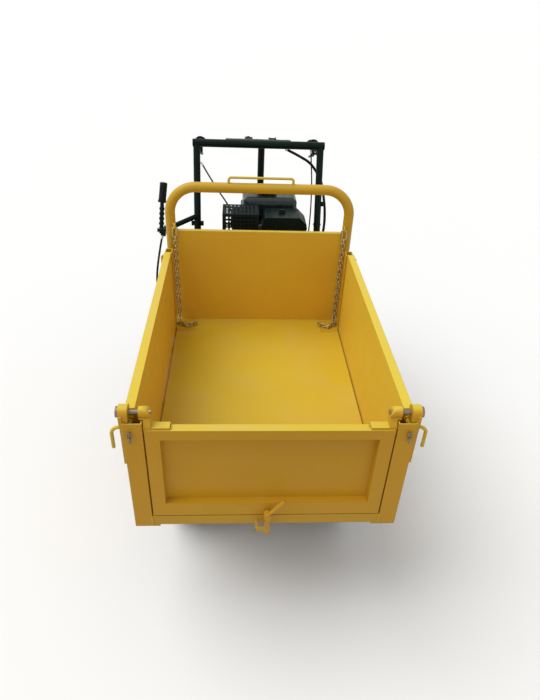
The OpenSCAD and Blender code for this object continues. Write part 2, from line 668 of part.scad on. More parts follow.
// Lugged tyre: bead, bulged walls, crown and two rows of slanted lugs.
module tyre() translate([wheel_x, axle_d, axle_z]) rotate([0, 90, 0]) {
    r = tyre_od / 2;
    w = tyre_w / 2;
    crown = r - 13;
    mid = (rim_r + crown) / 2;
    wall = [for (a = [-80:20:60]) [mid + (crown - mid) * sin(a), 26 + (w - 8 - 26) * cos(a)]];
    half = concat([[rim_r, 0], [rim_r, 55]], wall, [[crown, w - 30], [crown, 0]]);
    rotate_extrude() polygon(concat(half, [for (i = [len(half) - 2:-1:1]) [half[i][0], -half[i][1]]]));
    intersection() {
        for (s = [0, 1]) mirror([0, 0, s]) for (k = [0:lug_count - 1])
            rotate([0, 0, (k + s / 2) * 360 / lug_count]) translate([crown - 22, 0, 0]) rotate([32, 0, 0])
                translate([0, -9, -8]) cube([60, 18, w + 30]);
        rotate_extrude() polygon([[crown - 22, -w], [crown - 12, -w], [r - 7, 8 - w], [r, 20 - w],
            [r, w - 20], [r - 7, w - 8], [crown - 12, w], [crown - 22, w]]);
    }
}
module hub_left() color(zinc) place() hub();
module hub_right() color(zinc) place() mirror([1, 0, 0]) hub();
module rim_left() color(yellow) place() rim();
module rim_right() color(yellow) place() mirror([1, 0, 0]) rim();
module tyre_left() color(rubber) place() tyre();
module tyre_right() color(rubber) place() mirror([1, 0, 0]) tyre();

module caster_fork() translate([caster_x, caster_d, 0]) {
    leg = caster_w / 2 + 5;
    top = caster_od + 12;
    translate([0, 0, top]) cylinder(d = 20, h = rail_top - 12 - top);
    translate([0, 0, top + 8]) cylinder(d = 60, h = rail_bot - fit - top - 8);
    slab_z([-leg - 6, -34, top], [leg + 6, caster_trail + 10, top + 9], 9);
    for (s = [-1, 1]) translate([s * (leg + 3) - 3, 0, 0]) rotate([90, 0, 90]) linear_extrude(6) union() {
        polygon([[-22, top + 1], [caster_trail + 2, top + 1], [caster_trail + 19, caster_z + 4],
            [caster_trail - 19, caster_z + 4]]);
        translate([caster_trail, caster_z]) circle(r = 20);
    }
    along_x(-leg - 12, caster_trail, caster_z, 12, 2 * leg + 24);
    for (x = [-leg - 15, leg + 5.5]) along_x(x, caster_trail, caster_z, 22, 9.5);
}
module caster_rim() translate([caster_x, caster_d + caster_trail, caster_z]) rotate([0, 90, 0]) {
    h = caster_w / 2;
    difference() {
        rotate_extrude() polygon([[6.2, -h - 4], [18, -h - 4], [18, -6], [58, -4], [62, 4 - h], [69.8, 4 - h],
            [69.8, h - 4], [62, h - 4], [58, 4], [18, 6], [18, h + 4], [6.2, h + 4]]);
        for (k = [0:5]) rotate([0, 0, 60 * k]) translate([38, 0, -20]) cylinder(d = 20, h = 40);
    }
}
module caster_tyre() translate([caster_x, caster_d + caster_trail, caster_z]) rotate([0, 90, 0]) {
    r = caster_od / 2;
    h = caster_w / 2;
    rotate_extrude() polygon([[70, -h + 2], [r - 14, -h], [r - 5, -h + 5], [r - 1.5, -h + 12], [r, -6], [r, 6],
        [r - 1.5, h - 12], [r - 5, h - 5], [r - 14, h], [70, h - 2]]);
}
module caster_fork_left() color(black) place() caster_fork();
module caster_fork_right() color(black) place() mirror([1, 0, 0]) caster_fork();
module caster_rim_left() color(zinc) place() caster_rim();
module caster_rim_right() color(zinc) place() mirror([1, 0, 0]) caster_rim();
module caster_tyre_left() color(rubber) place() caster_tyre();
module caster_tyre_right() color(rubber) place() mirror([1, 0, 0]) caster_tyre();

module engine_block() color(alloy) place() difference() {
    union() {
        box([-78, crank_d - 103, deck_z], [98, crank_d + 103, deck_z + 14]);
        along_x(-80, crank_d, crank_z, 190, 180);
        box([-80, crank_d - 80, deck_z + 10], [100, crank_d + 80, crank_z]);
        along_x(-92, crank_d, crank_z, 64, 14);
        translate([10, crank_d, crank_z]) rotate([65, 0, 0]) {
            box([-46, -42, 60], [46, 42, 170]);
            for (k = [0:6]) box([-58, -52, 92 + 11 * k], [58, 48, 96 + 11 * k]);
            box([-54, -46, 166], [54, 44, 184]);
            slab_z([-44, -38, 183], [44, 36, 202], 12);
        }
        // ports for muffler and air cleaner, tank rests, governor post
        translate([-28, crank_d - 129, crank_z + 95]) cylinder(d = 38, h = 28);
        translate([48, crank_d - 129, crank_z + 95]) cylinder(d = 38, h = 28);
        for (x = [-30, 86]) box([x - 12, crank_d - 13, crank_z + 80], [x + 12, crank_d + 97, tank_z]);
        for (x = [-30, 86]) box([x - 12, crank_d + 55, crank_z], [x + 12, crank_d + 75, tank_z]);
        box([-80, crank_d - 69, crank_z + 50], [-64, crank_d - 53, crank_z + 108]);
    }
    along_x(-100, crank_d, crank_z, 20.4, 34);
}
module fuel_tank() color(black) place() {
    intersection() {
        slab_x([-64, crank_d - 49, tank_z], [158, crank_d + 125, tank_top], 26);
        slab_y([-64, crank_d - 49, tank_z], [158, crank_d + 125, tank_top], 24);
        slab_z([-64, crank_d - 49, tank_z], [158, crank_d + 125, tank_top], 30);
    }
    slab_z([-71, crank_d - 56, tank_z + 30], [165, crank_d + 132, tank_z + 34], 34);
    translate([38, crank_d + 25, tank_top - 4]) cylinder(d = cap_d - 16, h = 10);
}
module fuel_cap() color(black) place() translate([38, crank_d + 25, tank_top + 6.3]) {
    difference() {
        cylinder(d = cap_d, h = 14);
        for (k = [0:19]) rotate([0, 0, 18 * k]) translate([cap_d / 2 + 1, 0, -1]) cylinder(d = 6, h = 20);
    }
    translate([0, 0, 13]) cylinder(d = cap_d - 18, h = 4);
}
module muffler() color(black) place() {
    slab_y([-112, crank_d - 161, crank_z + 130], [-8, crank_d - 71, crank_z + 205], 36);
    translate([-28, crank_d - 129, crank_z + 123]) cylinder(d = 30, h = 10);
    along_y(-60, crank_d - 72, crank_z + 168, 24, 14);
}
// Perforated cover round the muffler.
module guard_sheet(w, h) linear_extrude(1.6) difference() {
    square([w, h]);
    nx = floor((w - 8) / 15);
    ny = floor((h - 8) / 15);
    for (i = [0:nx - 1]) for (j = [0:ny - 1])
        translate([w / 2 + (i - (nx - 1) / 2) * 15, h / 2 + (j - (ny - 1) / 2) * 15])
            circle(d = guard_hole_d);
}
module muffler_guard() color(black) place() {
    b = crank_z + 122;
    t = crank_z + 212;
    translate([-143, crank_d - 173.4, b]) rotate([90, 0, 0]) guard_sheet(141, t - b);
    translate([-143, crank_d - 174.5, t - 1.6]) guard_sheet(141, 108);
    translate([-143, crank_d - 174.5, b]) rotate([90, 0, 90]) guard_sheet(108, t - b);
    for (z = [b, t - 12]) box([-143, crank_d - 70, z], [-2, crank_d - 66, z + 4]);
    // stays to the muffler
    for (x = [-90, -40]) box([x, crank_d - 174, crank_z + 160], [x + 10, crank_d - 161.3, crank_z + 164]);
}
module air_cleaner() color(black) place() {
    difference() {
        slab_y([16, crank_d - 163, crank_z + 123], [188, crank_d - 57, crank_z + 196], 18);
        translate([188, crank_d - 175, crank_z + 196]) rotate([0, 45, 0]) cube([60, 300, 40], center = true);
    }
    slab_z([12, crank_d - 167, crank_z + 146], [192, crank_d - 53, crank_z + 151], 16);
    translate([92, crank_d - 110, crank_z + 194]) cylinder(d = 26, h = 10);
    box([80, crank_d - 113, crank_z + 202], [104, crank_d - 107, crank_z + 210]);
}
module recoil_housing() color(black) place() {
    difference() {
        union() {
            along_x(100.3, crank_d, crank_z, 204, 26);
            along_x(126, crank_d, crank_z, 184, 30);
            along_x(155, crank_d, crank_z, 90, 8);
        }
        for (k = [0:11]) translate([150, crank_d, crank_z]) rotate([30 * k, 0, 0])
            box([0, -5, 52], [12, 5, 82]);
    }
    // starter grip at its eyelet
    translate([140, crank_d - 70, crank_z + 44]) rotate([58, 0, 0]) {
        cylinder(d = 22, h = 40);
        slab_z([-9, -28, 34], [9, 28, 50], 8);
    }
}

// Outline round two pulleys, as points.
function belt_line(a, b, c) = let (q = asin((b - a) / c)) concat(
    [for (t = [0:12]) let (g = q + t * (180 - 2 * q) / 12) [a * cos(g), c + a * sin(g)]],
    [for (t = [0:16]) let (g = 180 - q + t * (180 + 2 * q) / 16) [b * cos(g), b * sin(g)]]);
pulley_gap = crank_z - driven_z;
module belt_plane(x) translate([x, crank_d, driven_z]) rotate([90, 0, 90]) children();
module drive_belt() color(rubber) place() belt_plane(pulley_x - 6) linear_extrude(12) difference() {
    polygon(belt_line(drive_pulley_d / 2 - 1, driven_pulley_d / 2 - 1, pulley_gap));
    polygon(belt_line(drive_pulley_d / 2 - 9, driven_pulley_d / 2 - 9, pulley_gap));
}
module pulley(d, z, stub) {
    translate([pulley_x - 12, crank_d, z]) rotate([0, 90, 0]) rotate_extrude() polygon([[0, 0], [d / 2, 0],
        [d / 2, 5], [d / 2 - 10, 5.6], [d / 2 - 10, 18.4], [d / 2, 19], [d / 2, 24], [0, 24]]);
    along_x(pulley_x + 11, crank_d, z, 20, stub);
}
module engine_pulley() color(zinc) place() pulley(drive_pulley_d, crank_z, 32);
module gearbox_pulley() color(zinc) place() pulley(driven_pulley_d, driven_z, 42);
module belt_guard() color(black) place() {
    a = drive_pulley_d / 2 + 12;
    b = driven_pulley_d / 2 + 10;
    belt_plane(pulley_x - 21) difference() {
        linear_extrude(44) polygon(belt_line(a, b, pulley_gap));
        translate([0, 0, 3]) linear_extrude(50) polygon(belt_line(a - 3, b - 3, pulley_gap));
        for (k = [0:6]) translate([-22, 30 + 24 * k, -1]) cube([44, 8, 10]);
    }
    box([pulley_x - 20, crank_d + guard_at - 3, deck_z],
        [pulley_x + 22, crank_d + guard_at + 34, deck_z + 4]);
}

module handle_frame() color(black) place() {
    both() {
        difference() {
            union() {
                rod([upright_x, foot_d, rail_top], [upright_x, bar_d, bar_z], tube_d);
                box([upright_x - 30, foot_d - 20, rail_top], [upright_x + 30, foot_d + 34, rail_top + 6]);
            }
            box([upright_x - 40, foot_d - 60, rail_top - 40], [upright_x + 40, foot_d + 60, rail_top]);
        }
        rod([upright_x, bar_d, bar_z], [upright_x, grip_end - 3, bar_at(grip_end - 3)], tube_d - 1);
        // steering lever ears
        for (x = [upright_x - 13, upright_x + 8])
            box([x, crank_d + 243, bar_at(crank_d + 255) - 42],
                [x + 5, crank_d + 267, bar_at(crank_d + 255)]);
        along_x(upright_x - 9, crank_d + 255, bar_at(crank_d + 255) - 32, 8, 18);
        box([upright_x - 8, crank_d + 233.3, bar_z - 71],
            [upright_x + 8, crank_d + 241, bar_at(crank_d + 237)]);
    }
    along_x(-upright_x - 16, bar_d, bar_z, tube_d + 3, 2 * upright_x + 32);
    translate([13, crank_d + 149, rail_top]) cylinder(d = tube_d, h = bar_z - 18.3 - rail_top);
    // arm and pin of the dump lever
    rod([-upright_x, upright_at(lever_z), lever_z], [-361, lever_d + 12, lever_z], 20);
    box([-372, lever_d - 18, lever_z - 18], [-364, lever_d + 22, lever_z + 11]);
    along_x(-392, lever_d, lever_z, 10, 22);
    along_x(-396, lever_d, lever_z, 16, 4);
    box([-384, lever_d - 12, lever_z - 16], [-364, lever_d + 4, lever_z - 13.4]);
}
module console() color(black) place() {
    front = bar_d + tube_d / 2 + 1.8;
    difference() {
        translate([-135, 0, 0]) rotate([90, 0, 90]) linear_extrude(265)
            polygon([[front, bar_z - 18], [front, bar_z + 10], [bar_d + 30, bar_z + 12],
                [crank_d + 173, bar_z - 2],
                [crank_d + 181, bar_z - 8], [crank_d + 181, bar_z - 18]]);
        for (x = [-80, 0, 75])
            slab_z([x - 14, crank_d + 125, bar_z - 4], [x + 14, crank_d + 161, bar_z + 20], 6);
    }
    // ears and pins for the gear and throttle levers
    for (x = [-40, 60]) {
        for (s = [-16, 11]) box([x + s, crank_d + 180, bar_z - 18], [x + s + 5, crank_d + 207, bar_z - 2]);
        along_x(x - 12, crank_d + 197, bar_z - 10, 8, 24);
    }
}
module grips() color(rubber) place() both() difference() {
    u = unit([0, grip_end - bar_d, -grip_drop]);
    e = [upright_x, grip_end, bar_at(grip_end)];
    union() {
        rod(e - 118 * u, e, grip_d);
        rod(e - 122 * u, e - 116 * u, grip_d + 12);
        rod(e - 6 * u, e, grip_d + 5);
        for (k = [1:7]) rod(e - (12 + 13 * k) * u, e - (7 + 13 * k) * u, grip_d + 2);
    }
    rod(e - 140 * u, e - 2.7 * u, tube_d - 0.6);
}
module steer_lever() {
    z = bar_at(crank_d + 255) - 32;
    difference() {
        union() {
            along_x(upright_x - 7.7, crank_d + 255, z, 20, 15.4);
            rod([upright_x, crank_d + 255, z], [upright_x, crank_d + 291, z - 22], 11);
            rod([upright_x, crank_d + 291, z - 22], [upright_x, crank_d + 415, z - 62], 11);
            for (q = [[crank_d + 291, z - 22], [crank_d + 415, z - 62]])
                translate([upright_x, q[0], q[1]]) sphere(d = 12);
        }
        along_x(upright_x - 10, crank_d + 255, z, 8.4, 20);
    }
}
module steer_lever_left() color(black) place() steer_lever();
module steer_lever_right() color(black) place() mirror([1, 0, 0]) steer_lever();
module console_lever(x, reach, knob) difference() {
    union() {
        along_x(x - 10.7, crank_d + 197, bar_z - 10, 16, 21.4);
        rod([x, crank_d + 199, bar_z - 10.5], [x, crank_d + 197 + reach, bar_z - 10 - reach * 0.28], 9);
        translate([x, crank_d + 197 + reach, bar_z - 10 - reach * 0.28]) sphere(d = knob);
    }
    along_x(x - 20, crank_d + 197, bar_z - 10, 8.4, 40);
}
module gear_lever() color(black) place() console_lever(-40, 96, 32);
module throttle_lever() color(black) place() console_lever(60, 60, 20);

module dump_lever() color(black) place() difference() {
    a = [-381, lever_d, lever_z];
    b = [-373, lever_d + 22, lever_z + 108];
    c = [-364, lever_d + 36, lever_z + 176];
    union() {
        along_x(-388.5, lever_d, lever_z, 26, 16.2);
        rod(a + (b - a) * 0.06, b, 15);
        for (k = [0:3]) rod(a + (b - a) * (0.2 + 0.17 * k), a + (b - a) * (0.28 + 0.17 * k), 20);
        rod(b, c, 27);
        rod(b - (c - b) * 0.04, b + (c - b) * 0.06, 32);
    }
    along_x(-400, lever_d, lever_z, 10.4, 40);
}
// Catch, drawn back from its striker.
module dump_catch() color(zinc) place() difference() {
    translate([0, hook_d, hook_z]) rotate([-30, 0, 0]) union() {
        along_x(-7, 0, 0, 26, 14);
        rotate([90, 0, 90]) translate([0, 0, -5]) linear_extrude(10)
            polygon([[-9, 0], [9, 0], [10, 66], [2, 74], [-38, 68], [-44, 54], [-8, 52]]);
    }
    along_x(-20, hook_d, hook_z, 10.4, 40);
}
module control_cables() color(rubber) place() {
    cable(throttle_route, 6, 4);
    cable(loom_route, 12, 3);
    cable(clutch_route, 5.5, 4);
    cable(steer_route, 6, 3, [0.9, 0.2, 0.3]);
    mirror([1, 0, 0]) cable(steer_route, 6, 3, [0.9, 0.2, 0.3]);
}
module dump_cable() color(rubber) place() cable(dump_route, 8, 3, [0.3, 0.5, 0.8]);
module frame_bolts() color(zinc) place() {
    for (x = [-upright_x - 25, -upright_x + 14.2])
        along_x(x, upright_at(floor_z + 306), floor_z + 306, 20, 10.8);
    along_x(upright_x + 14.2, upright_at(floor_z + 390), floor_z + 390, 20, 11);
    for (x = [-66, 86]) for (d = [crank_d - 92, crank_d + 92])
        translate([x, d, deck_z + 14]) cylinder(d = 17, h = 7, $fn = 6);
    for (x = [10 - rail_x, rail_x - 10]) for (d = [crank_d - 82, crank_d + 78])
        translate([x, d, rail_top + 12]) cylinder(d = 17, h = 7, $fn = 6);
}

floor_pan();
skip_subframe();
corner_posts();
headboard();
hoop();
grab_handle();
chain_left();
chain_right();
gate_pins();
side_pins();
front_gate();
gate_latch();
side_left();
side_right();
front_latch_left();
front_latch_right();
rear_latch_left();
rear_latch_right();
chassis();
tip_pins();
rest_buffers();
engine_stand();
axle_case();
drive_shaft();
gearbox();
hub_left();
hub_right();
rim_left();
rim_right();
tyre_left();
tyre_right();
caster_fork_left();
caster_fork_right();
caster_rim_left();
caster_rim_right();
caster_tyre_left();
caster_tyre_right();
engine_block();
fuel_tank();
fuel_cap();
muffler();
muffler_guard();
air_cleaner();
recoil_housing();
drive_belt();
engine_pulley();
gearbox_pulley();
belt_guard();
handle_frame();
console();
grips();
steer_lever_left();
steer_lever_right();
gear_lever();
throttle_lever();
dump_lever();
dump_catch();
control_cables();
dump_cable();
frame_bolts();
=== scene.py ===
import json
import math

import bpy
import numpy as np
from mathutils import Matrix, Vector


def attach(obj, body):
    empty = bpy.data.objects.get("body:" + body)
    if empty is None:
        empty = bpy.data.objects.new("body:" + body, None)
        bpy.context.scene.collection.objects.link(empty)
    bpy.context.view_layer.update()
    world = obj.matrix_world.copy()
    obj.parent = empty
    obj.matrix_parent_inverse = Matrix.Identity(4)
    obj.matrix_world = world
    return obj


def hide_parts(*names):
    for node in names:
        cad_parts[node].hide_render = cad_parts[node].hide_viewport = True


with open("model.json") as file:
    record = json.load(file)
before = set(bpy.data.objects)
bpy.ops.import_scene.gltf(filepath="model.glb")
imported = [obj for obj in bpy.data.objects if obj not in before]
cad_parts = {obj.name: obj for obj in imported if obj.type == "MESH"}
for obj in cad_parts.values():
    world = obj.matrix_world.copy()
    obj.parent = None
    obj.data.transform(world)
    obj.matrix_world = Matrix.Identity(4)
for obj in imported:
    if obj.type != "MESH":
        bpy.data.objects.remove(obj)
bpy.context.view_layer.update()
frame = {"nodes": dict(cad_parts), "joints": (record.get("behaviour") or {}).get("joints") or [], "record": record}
nodes = frame["nodes"]
scene = bpy.context.scene
scene.view_settings.view_transform = "Standard"

# Pieces are set out in millimetres, with depths from the gate face; camera, floor and finishes in metres.
mm = 0.001
gateFace = -830


def place(points):
    return (np.asarray(points, float) + [0, gateFace, 0]) * mm


def unplace(points):
    return points / mm - [0, gateFace, 0]


def unit(v):
    return v / np.linalg.norm(v, axis=-1, keepdims=True)


def bothSides(points):
    points = np.asarray(points, float)
    return [points, points * [-1, 1, 1]]


# Centres of turning parts, as (depth, height).
pivots = {j["name"]: unplace(np.array(j["pos_m"])) for j in frame["joints"] if j["type"] == "hinge"}
axleCentre = pivots["wheel_left_spin"][1:]
crankCentre = pivots["upper_pulley_spin"][1:]
gearboxCentre = pivots["lower_pulley_spin"][1:]

# Camera, light and floor; angles are in degrees.
view = {
    "focalPixels": 565.6, "longSide": 700, "sensor": 36, "pitch": 34.48, "yaw": 4.10, "roll": 2.72,
    "spot": (-0.0844, -1.8233, 1.667),
}


def makeCamera():
    pitch, yaw, roll = (math.radians(view[k]) for k in ("pitch", "yaw", "roll"))
    level = math.cos(pitch)
    ahead = Vector((math.sin(yaw) * level, math.cos(yaw) * level, -math.sin(pitch)))
    flat = Vector((math.cos(yaw), -math.sin(yaw), 0))
    lift = flat.cross(ahead)
    right = flat * math.cos(roll) + lift * math.sin(roll)
    up = lift * math.cos(roll) - flat * math.sin(roll)
    camera = bpy.data.objects.new("camera", bpy.data.cameras.new("camera"))
    camera.data.sensor_width = view["sensor"]
    camera.data.lens = view["focalPixels"] / view["longSide"] * view["sensor"]
    turn = Matrix((right, up, -ahead)).transposed().to_4x4()
    camera.matrix_world = Matrix.Translation(view["spot"]) @ turn
    scene.collection.objects.link(camera)
    scene.camera = camera


light = {
    "sky": (1.0, 1.0, 1.0), "skyStrength": 0.61, "backdrop": 1.0,
    "sun": 1.98, "sunSize": 50, "sunFrom": (-0.50, 0.06, 0.86),
    "floor": (0.86, 0.86, 0.85), "bounce": (0.42, 0.33, 0.22), "floorRough": 0.7, "floorSize": 90,
}
mixSocket = {"factor": 0, "first": 6, "second": 7, "result": 2}  # colour sockets of a Mix node


def seenStraight(tree):
    # 1 for what the camera, a reflection or clear glass looks at, 0 for what only lights the machine.
    rays = tree.nodes.new("ShaderNodeLightPath").outputs
    seen = rays["Is Camera Ray"]
    for name in ("Is Glossy Ray", "Is Transmission Ray"):
        either = tree.nodes.new("ShaderNodeMath")
        either.operation = "MAXIMUM"
        tree.links.new(seen, either.inputs[0])
        tree.links.new(rays[name], either.inputs[1])
        seen = either.outputs[0]
    return seen


def makeSky():
    world = bpy.data.worlds.new("studio")
    scene.world = world
    world.use_nodes = True
    tree = world.node_tree
    back = tree.nodes["Background"]
    back.inputs["Color"].default_value = (*light["sky"], 1)
    level = tree.nodes.new("ShaderNodeMapRange")
    level.inputs["To Min"].default_value = light["skyStrength"]
    level.inputs["To Max"].default_value = light["backdrop"]
    tree.links.new(seenStraight(tree), level.inputs["Value"])
    tree.links.new(level.outputs[0], back.inputs["Strength"])


def makeSun():
    lamp = bpy.data.lights.new("key", "SUN")
    lamp.energy = light["sun"]
    lamp.angle = math.radians(light["sunSize"])
    key = bpy.data.objects.new("key", lamp)
    key.rotation_mode = "QUATERNION"
    key.rotation_quaternion = Vector(light["sunFrom"]).to_track_quat("Z", "Y")
    scene.collection.objects.link(key)


def makeFloor():
    # Pale where it is seen; the light that it throws on the machine is duller and warmer.
    s = light["floorSize"]
    mesh = bpy.data.meshes.new("studioFloor")
    mesh.from_pydata([(-s, -s, 0), (s, -s, 0), (s, s, 0), (-s, s, 0)], [], [(0, 1, 2, 3)])
    floor = bpy.data.objects.new("studioFloor", mesh)
    scene.collection.objects.link(floor)
    material = bpy.data.materials.new("studioFloor")
    material.use_nodes = True
    tree = material.node_tree
    shader = tree.nodes["Principled BSDF"]
    tone = tree.nodes.new("ShaderNodeMix")
    tone.data_type = "RGBA"
    tone.inputs[mixSocket["first"]].default_value = (*light["bounce"], 1)
    tone.inputs[mixSocket["second"]].default_value = (*light["floor"], 1)
    tree.links.new(seenStraight(tree), tone.inputs[mixSocket["factor"]])
    tree.links.new(tone.outputs[mixSocket["result"]], shader.inputs["Base Color"])
    shader.inputs["Roughness"].default_value = light["floorRough"]
    mesh.materials.append(material)


makeCamera()
makeSky()
makeSun()
makeFloor()
print("stage: camera, light and floor")

# Materials
bevelSamples = 4
wander = (0.3, 0.7)  # noise values between which roughness runs from least to most


class Shade:
    # A material under construction: its methods return output sockets, and finish returns the material.
    def __init__(self, name):
        self.material = bpy.data.materials.new(name)
        self.material.use_nodes = True
        self.tree = self.material.node_tree
        self.shader = self.tree.nodes["Principled BSDF"]
        self.coords = self.tree.nodes.new("ShaderNodeTexCoord").outputs["Object"]

    def feed(self, socket, value):
        if isinstance(value, bpy.types.NodeSocket):
            self.tree.links.new(value, socket)
        elif isinstance(value, tuple) and len(value) == 3 and socket.type == "RGBA":
            socket.default_value = (*value, 1)
        else:
            socket.default_value = value

    def noise(self, scale, detail=3.0, stretch=None):
        node = self.tree.nodes.new("ShaderNodeTexNoise")
        vector = self.coords
        if stretch:
            mapping = self.tree.nodes.new("ShaderNodeMapping")
            mapping.inputs["Scale"].default_value = stretch
            self.feed(mapping.inputs["Vector"], vector)
            vector = mapping.outputs[0]
        self.feed(node.inputs["Vector"], vector)
        node.inputs["Scale"].default_value = scale
        node.inputs["Detail"].default_value = detail
        return node.outputs[0]

    def ramp(self, value, low, high, start=0.0, end=1.0):
        node = self.tree.nodes.new("ShaderNodeMapRange")
        self.feed(node.inputs["Value"], value)
        for name, number in zip(("From Min", "From Max", "To Min", "To Max"), (low, high, start, end)):
            node.inputs[name].default_value = number
        return node.outputs[0]

    def uneven(self, noise, level, less, more):
        # A level that noise takes a little down and up.
        return self.ramp(self.noise(*noise), *wander, level - less, level + more)

    def math(self, kind, a, b):
        node = self.tree.nodes.new("ShaderNodeMath")
        node.operation = kind
        self.feed(node.inputs[0], a)
        self.feed(node.inputs[1], b)
        return node.outputs[0]

    def mix(self, factor, a, b):
        node = self.tree.nodes.new("ShaderNodeMix")
        node.data_type = "RGBA"
        for name, value in (("factor", factor), ("first", a), ("second", b)):
            self.feed(node.inputs[mixSocket[name]], value)
        return node.outputs[mixSocket["result"]]

    def rounded(self, radius):
        node = self.tree.nodes.new("ShaderNodeBevel")
        node.samples = bevelSamples
        node.inputs["Radius"].default_value = radius
        return node.outputs[0]

    def plain(self):
        return self.tree.nodes.new("ShaderNodeNewGeometry").outputs["Normal"]

    def edges(self, soft, low, high):
        # Where the rounded normal leaves the flat one, the paint is thin.
        node = self.tree.nodes.new("ShaderNodeVectorMath")
        node.operation = "DOT_PRODUCT"
        self.feed(node.inputs[0], soft)
        self.feed(node.inputs[1], self.plain())
        return self.ramp(node.outputs["Value"], high, low)

    def upright(self, vector):
        split = self.tree.nodes.new("ShaderNodeSeparateXYZ")
        self.feed(split.inputs[0], vector)
        return split.outputs[2]

    def upward(self, low, high):
        return self.ramp(self.upright(self.plain()), low, high)

    def height(self, none, full, most):
        return self.ramp(self.upright(self.coords), none, full, 0.0, most)

    def bump(self, height, strength, distance, normal):
        node = self.tree.nodes.new("ShaderNodeBump")
        self.feed(node.inputs["Height"], height)
        node.inputs["Strength"].default_value = strength
        node.inputs["Distance"].default_value = distance
        self.feed(node.inputs["Normal"], normal)
        return node.outputs[0]

    def finish(self, colour, rough, normal, **fixed):
        self.feed(self.shader.inputs["Base Color"], colour)
        self.feed(self.shader.inputs["Roughness"], rough)
        self.feed(self.shader.inputs["Normal"], normal)
        for name, value in fixed.items():
            self.feed(self.shader.inputs[name.replace("_", " ")], value)
        return self.material


# Noises are (scale, detail); a band is the stretch of values over which an effect comes in.
sprayed = {
    "toneBand": (0.35, 0.65), "speckNoise": (160, 2), "speckBand": (0.62, 0.74),
    "chipNoise": (42, 5), "chipBand": (0.52, 0.62), "edgeBand": (0.82, 0.97), "topLitBand": (0.6, 0.95),
    "dustNoise": (5, 6), "dustBand": (0.46, 0.72), "settleBand": (0.5, 0.95),
    "roughNoise": (18, 4), "smoother": 0.06, "rougher": 0.08, "coatRough": 0.22,
    "waveNoise": (7, 1), "waveDepth": 0.004, "peelNoise": (420, 2), "peelDepth": 0.0004,
}


def coated(name, look):
    # Sprayed steel: slight tone patches, thin edges, gently wavy sheet and dust on what faces up; a painted
    # highlight on high faces that point up, and painted shade low down.
    s = Shade(name)
    soft = s.rounded(look["edge"])
    colour = s.mix(s.ramp(s.noise(look["patch"]), *sprayed["toneBand"]), look["tone"], look["shade"])
    specks = s.ramp(s.noise(*sprayed["speckNoise"]), *sprayed["speckBand"], 0, look["speck"])
    colour = s.mix(specks, colour, look["dark"])
    chips = s.ramp(s.noise(*sprayed["chipNoise"]), *sprayed["chipBand"])
    chips = s.math("MULTIPLY", s.edges(soft, *sprayed["edgeBand"]), chips)
    colour = s.mix(s.math("MULTIPLY", chips, look["wear"]), colour, look["bare"])
    # Painted highlight: high faces that point up are painted lighter, as if lit from above.
    if "topHighlight" in look:
        topLit = s.math("MULTIPLY", s.upward(*sprayed["topLitBand"]), s.height(*look["topHighlight"]))
        colour = s.mix(topLit, colour, look["topHighlightTone"])
    # Painted shade: below a given height the paint is darker and more orange, as if in shade.
    if "lowShade" in look:
        colour = s.mix(s.height(*look["lowShade"]), colour, look["lowShadeTone"])
    film = s.ramp(s.noise(*sprayed["dustNoise"]), *sprayed["dustBand"], 0, look["dust"])
    film = s.math("MULTIPLY", s.upward(*sprayed["settleBand"]), film)
    colour = s.mix(film, colour, look["dustTone"])
    rough = s.uneven(sprayed["roughNoise"], look["rough"], sprayed["smoother"], sprayed["rougher"])
    wave = s.bump(s.noise(*sprayed["waveNoise"]), look["wave"], sprayed["waveDepth"], soft)
    peel = s.bump(s.noise(*sprayed["peelNoise"]), look["peel"], sprayed["peelDepth"], wave)
    return s.finish(colour, rough, peel, Coat_Weight=look["coat"], Coat_Roughness=sprayed["coatRough"],
                    Specular_IOR_Level=look["gloss"])


yellowLook = {
    "tone": (0.65, 0.468, 0.031), "shade": (0.61, 0.422, 0.027), "patch": 2.2,
    "dark": (0.43, 0.26, 0.018), "speck": 0.25, "bare": (0.32, 0.26, 0.17), "wear": 0.45, "edge": 0.0016,
    "dust": 0.14, "dustTone": (0.60, 0.50, 0.28), "rough": 0.42, "wave": 0.10, "peel": 0.14,
    "coat": 0.05, "gloss": 0.30,
}
# Lit and shaded copies of one paint: the walls are painted paler, as if lit, than gate, posts and hoop,
# which are painted deeper, as if in shade; top edges get a painted highlight, and the sill is painted
# darker than the floor as painted shade.
paintedTopHighlight = {"topHighlight": (0.66, 0.72, 0.65), "topHighlightTone": (0.70, 0.56, 0.040)}
shadedYellow = {**yellowLook, "tone": (0.60, 0.365, 0.020), "shade": (0.56, 0.330, 0.018)}
gateShadedYellow = {
    **shadedYellow, **paintedTopHighlight, "tone": (0.61, 0.338, 0.017), "shade": (0.57, 0.308, 0.015), "gloss": 0.26,
}
panShadedYellow = {**yellowLook, "lowShade": (0.4515, 0.442, 0.85), "lowShadeTone": (0.55, 0.300, 0.013)}
litYellow = {**yellowLook, **paintedTopHighlight, "tone": (0.76, 0.470, 0.040), "shade": (0.72, 0.430, 0.036)}
leftLitYellow = {**litYellow, "tone": (0.755, 0.510, 0.045), "shade": (0.715, 0.468, 0.040)}
blackLook = {
    "tone": (0.003, 0.010, 0.008), "shade": (0.005, 0.015, 0.012), "patch": 5.0,
    "dark": (0.002, 0.004, 0.004), "speck": 0.3, "bare": (0.08, 0.075, 0.07), "wear": 0.4, "edge": 0.0012,
    "dust": 0.10, "dustTone": (0.07, 0.07, 0.06), "rough": 0.42, "wave": 0.04, "peel": 0.12,
    "coat": 0.02, "gloss": 0.09,
}

plated = {
    "toneDetail": 5, "toneBand": (0.35, 0.68), "stainNoise": (75, 4), "stainBand": (0.6, 0.75),
    "roughNoise": (55, 4), "smoother": 0.09, "rougher": 0.12, "grainDetail": 3, "grainDepth": 0.0006,
}


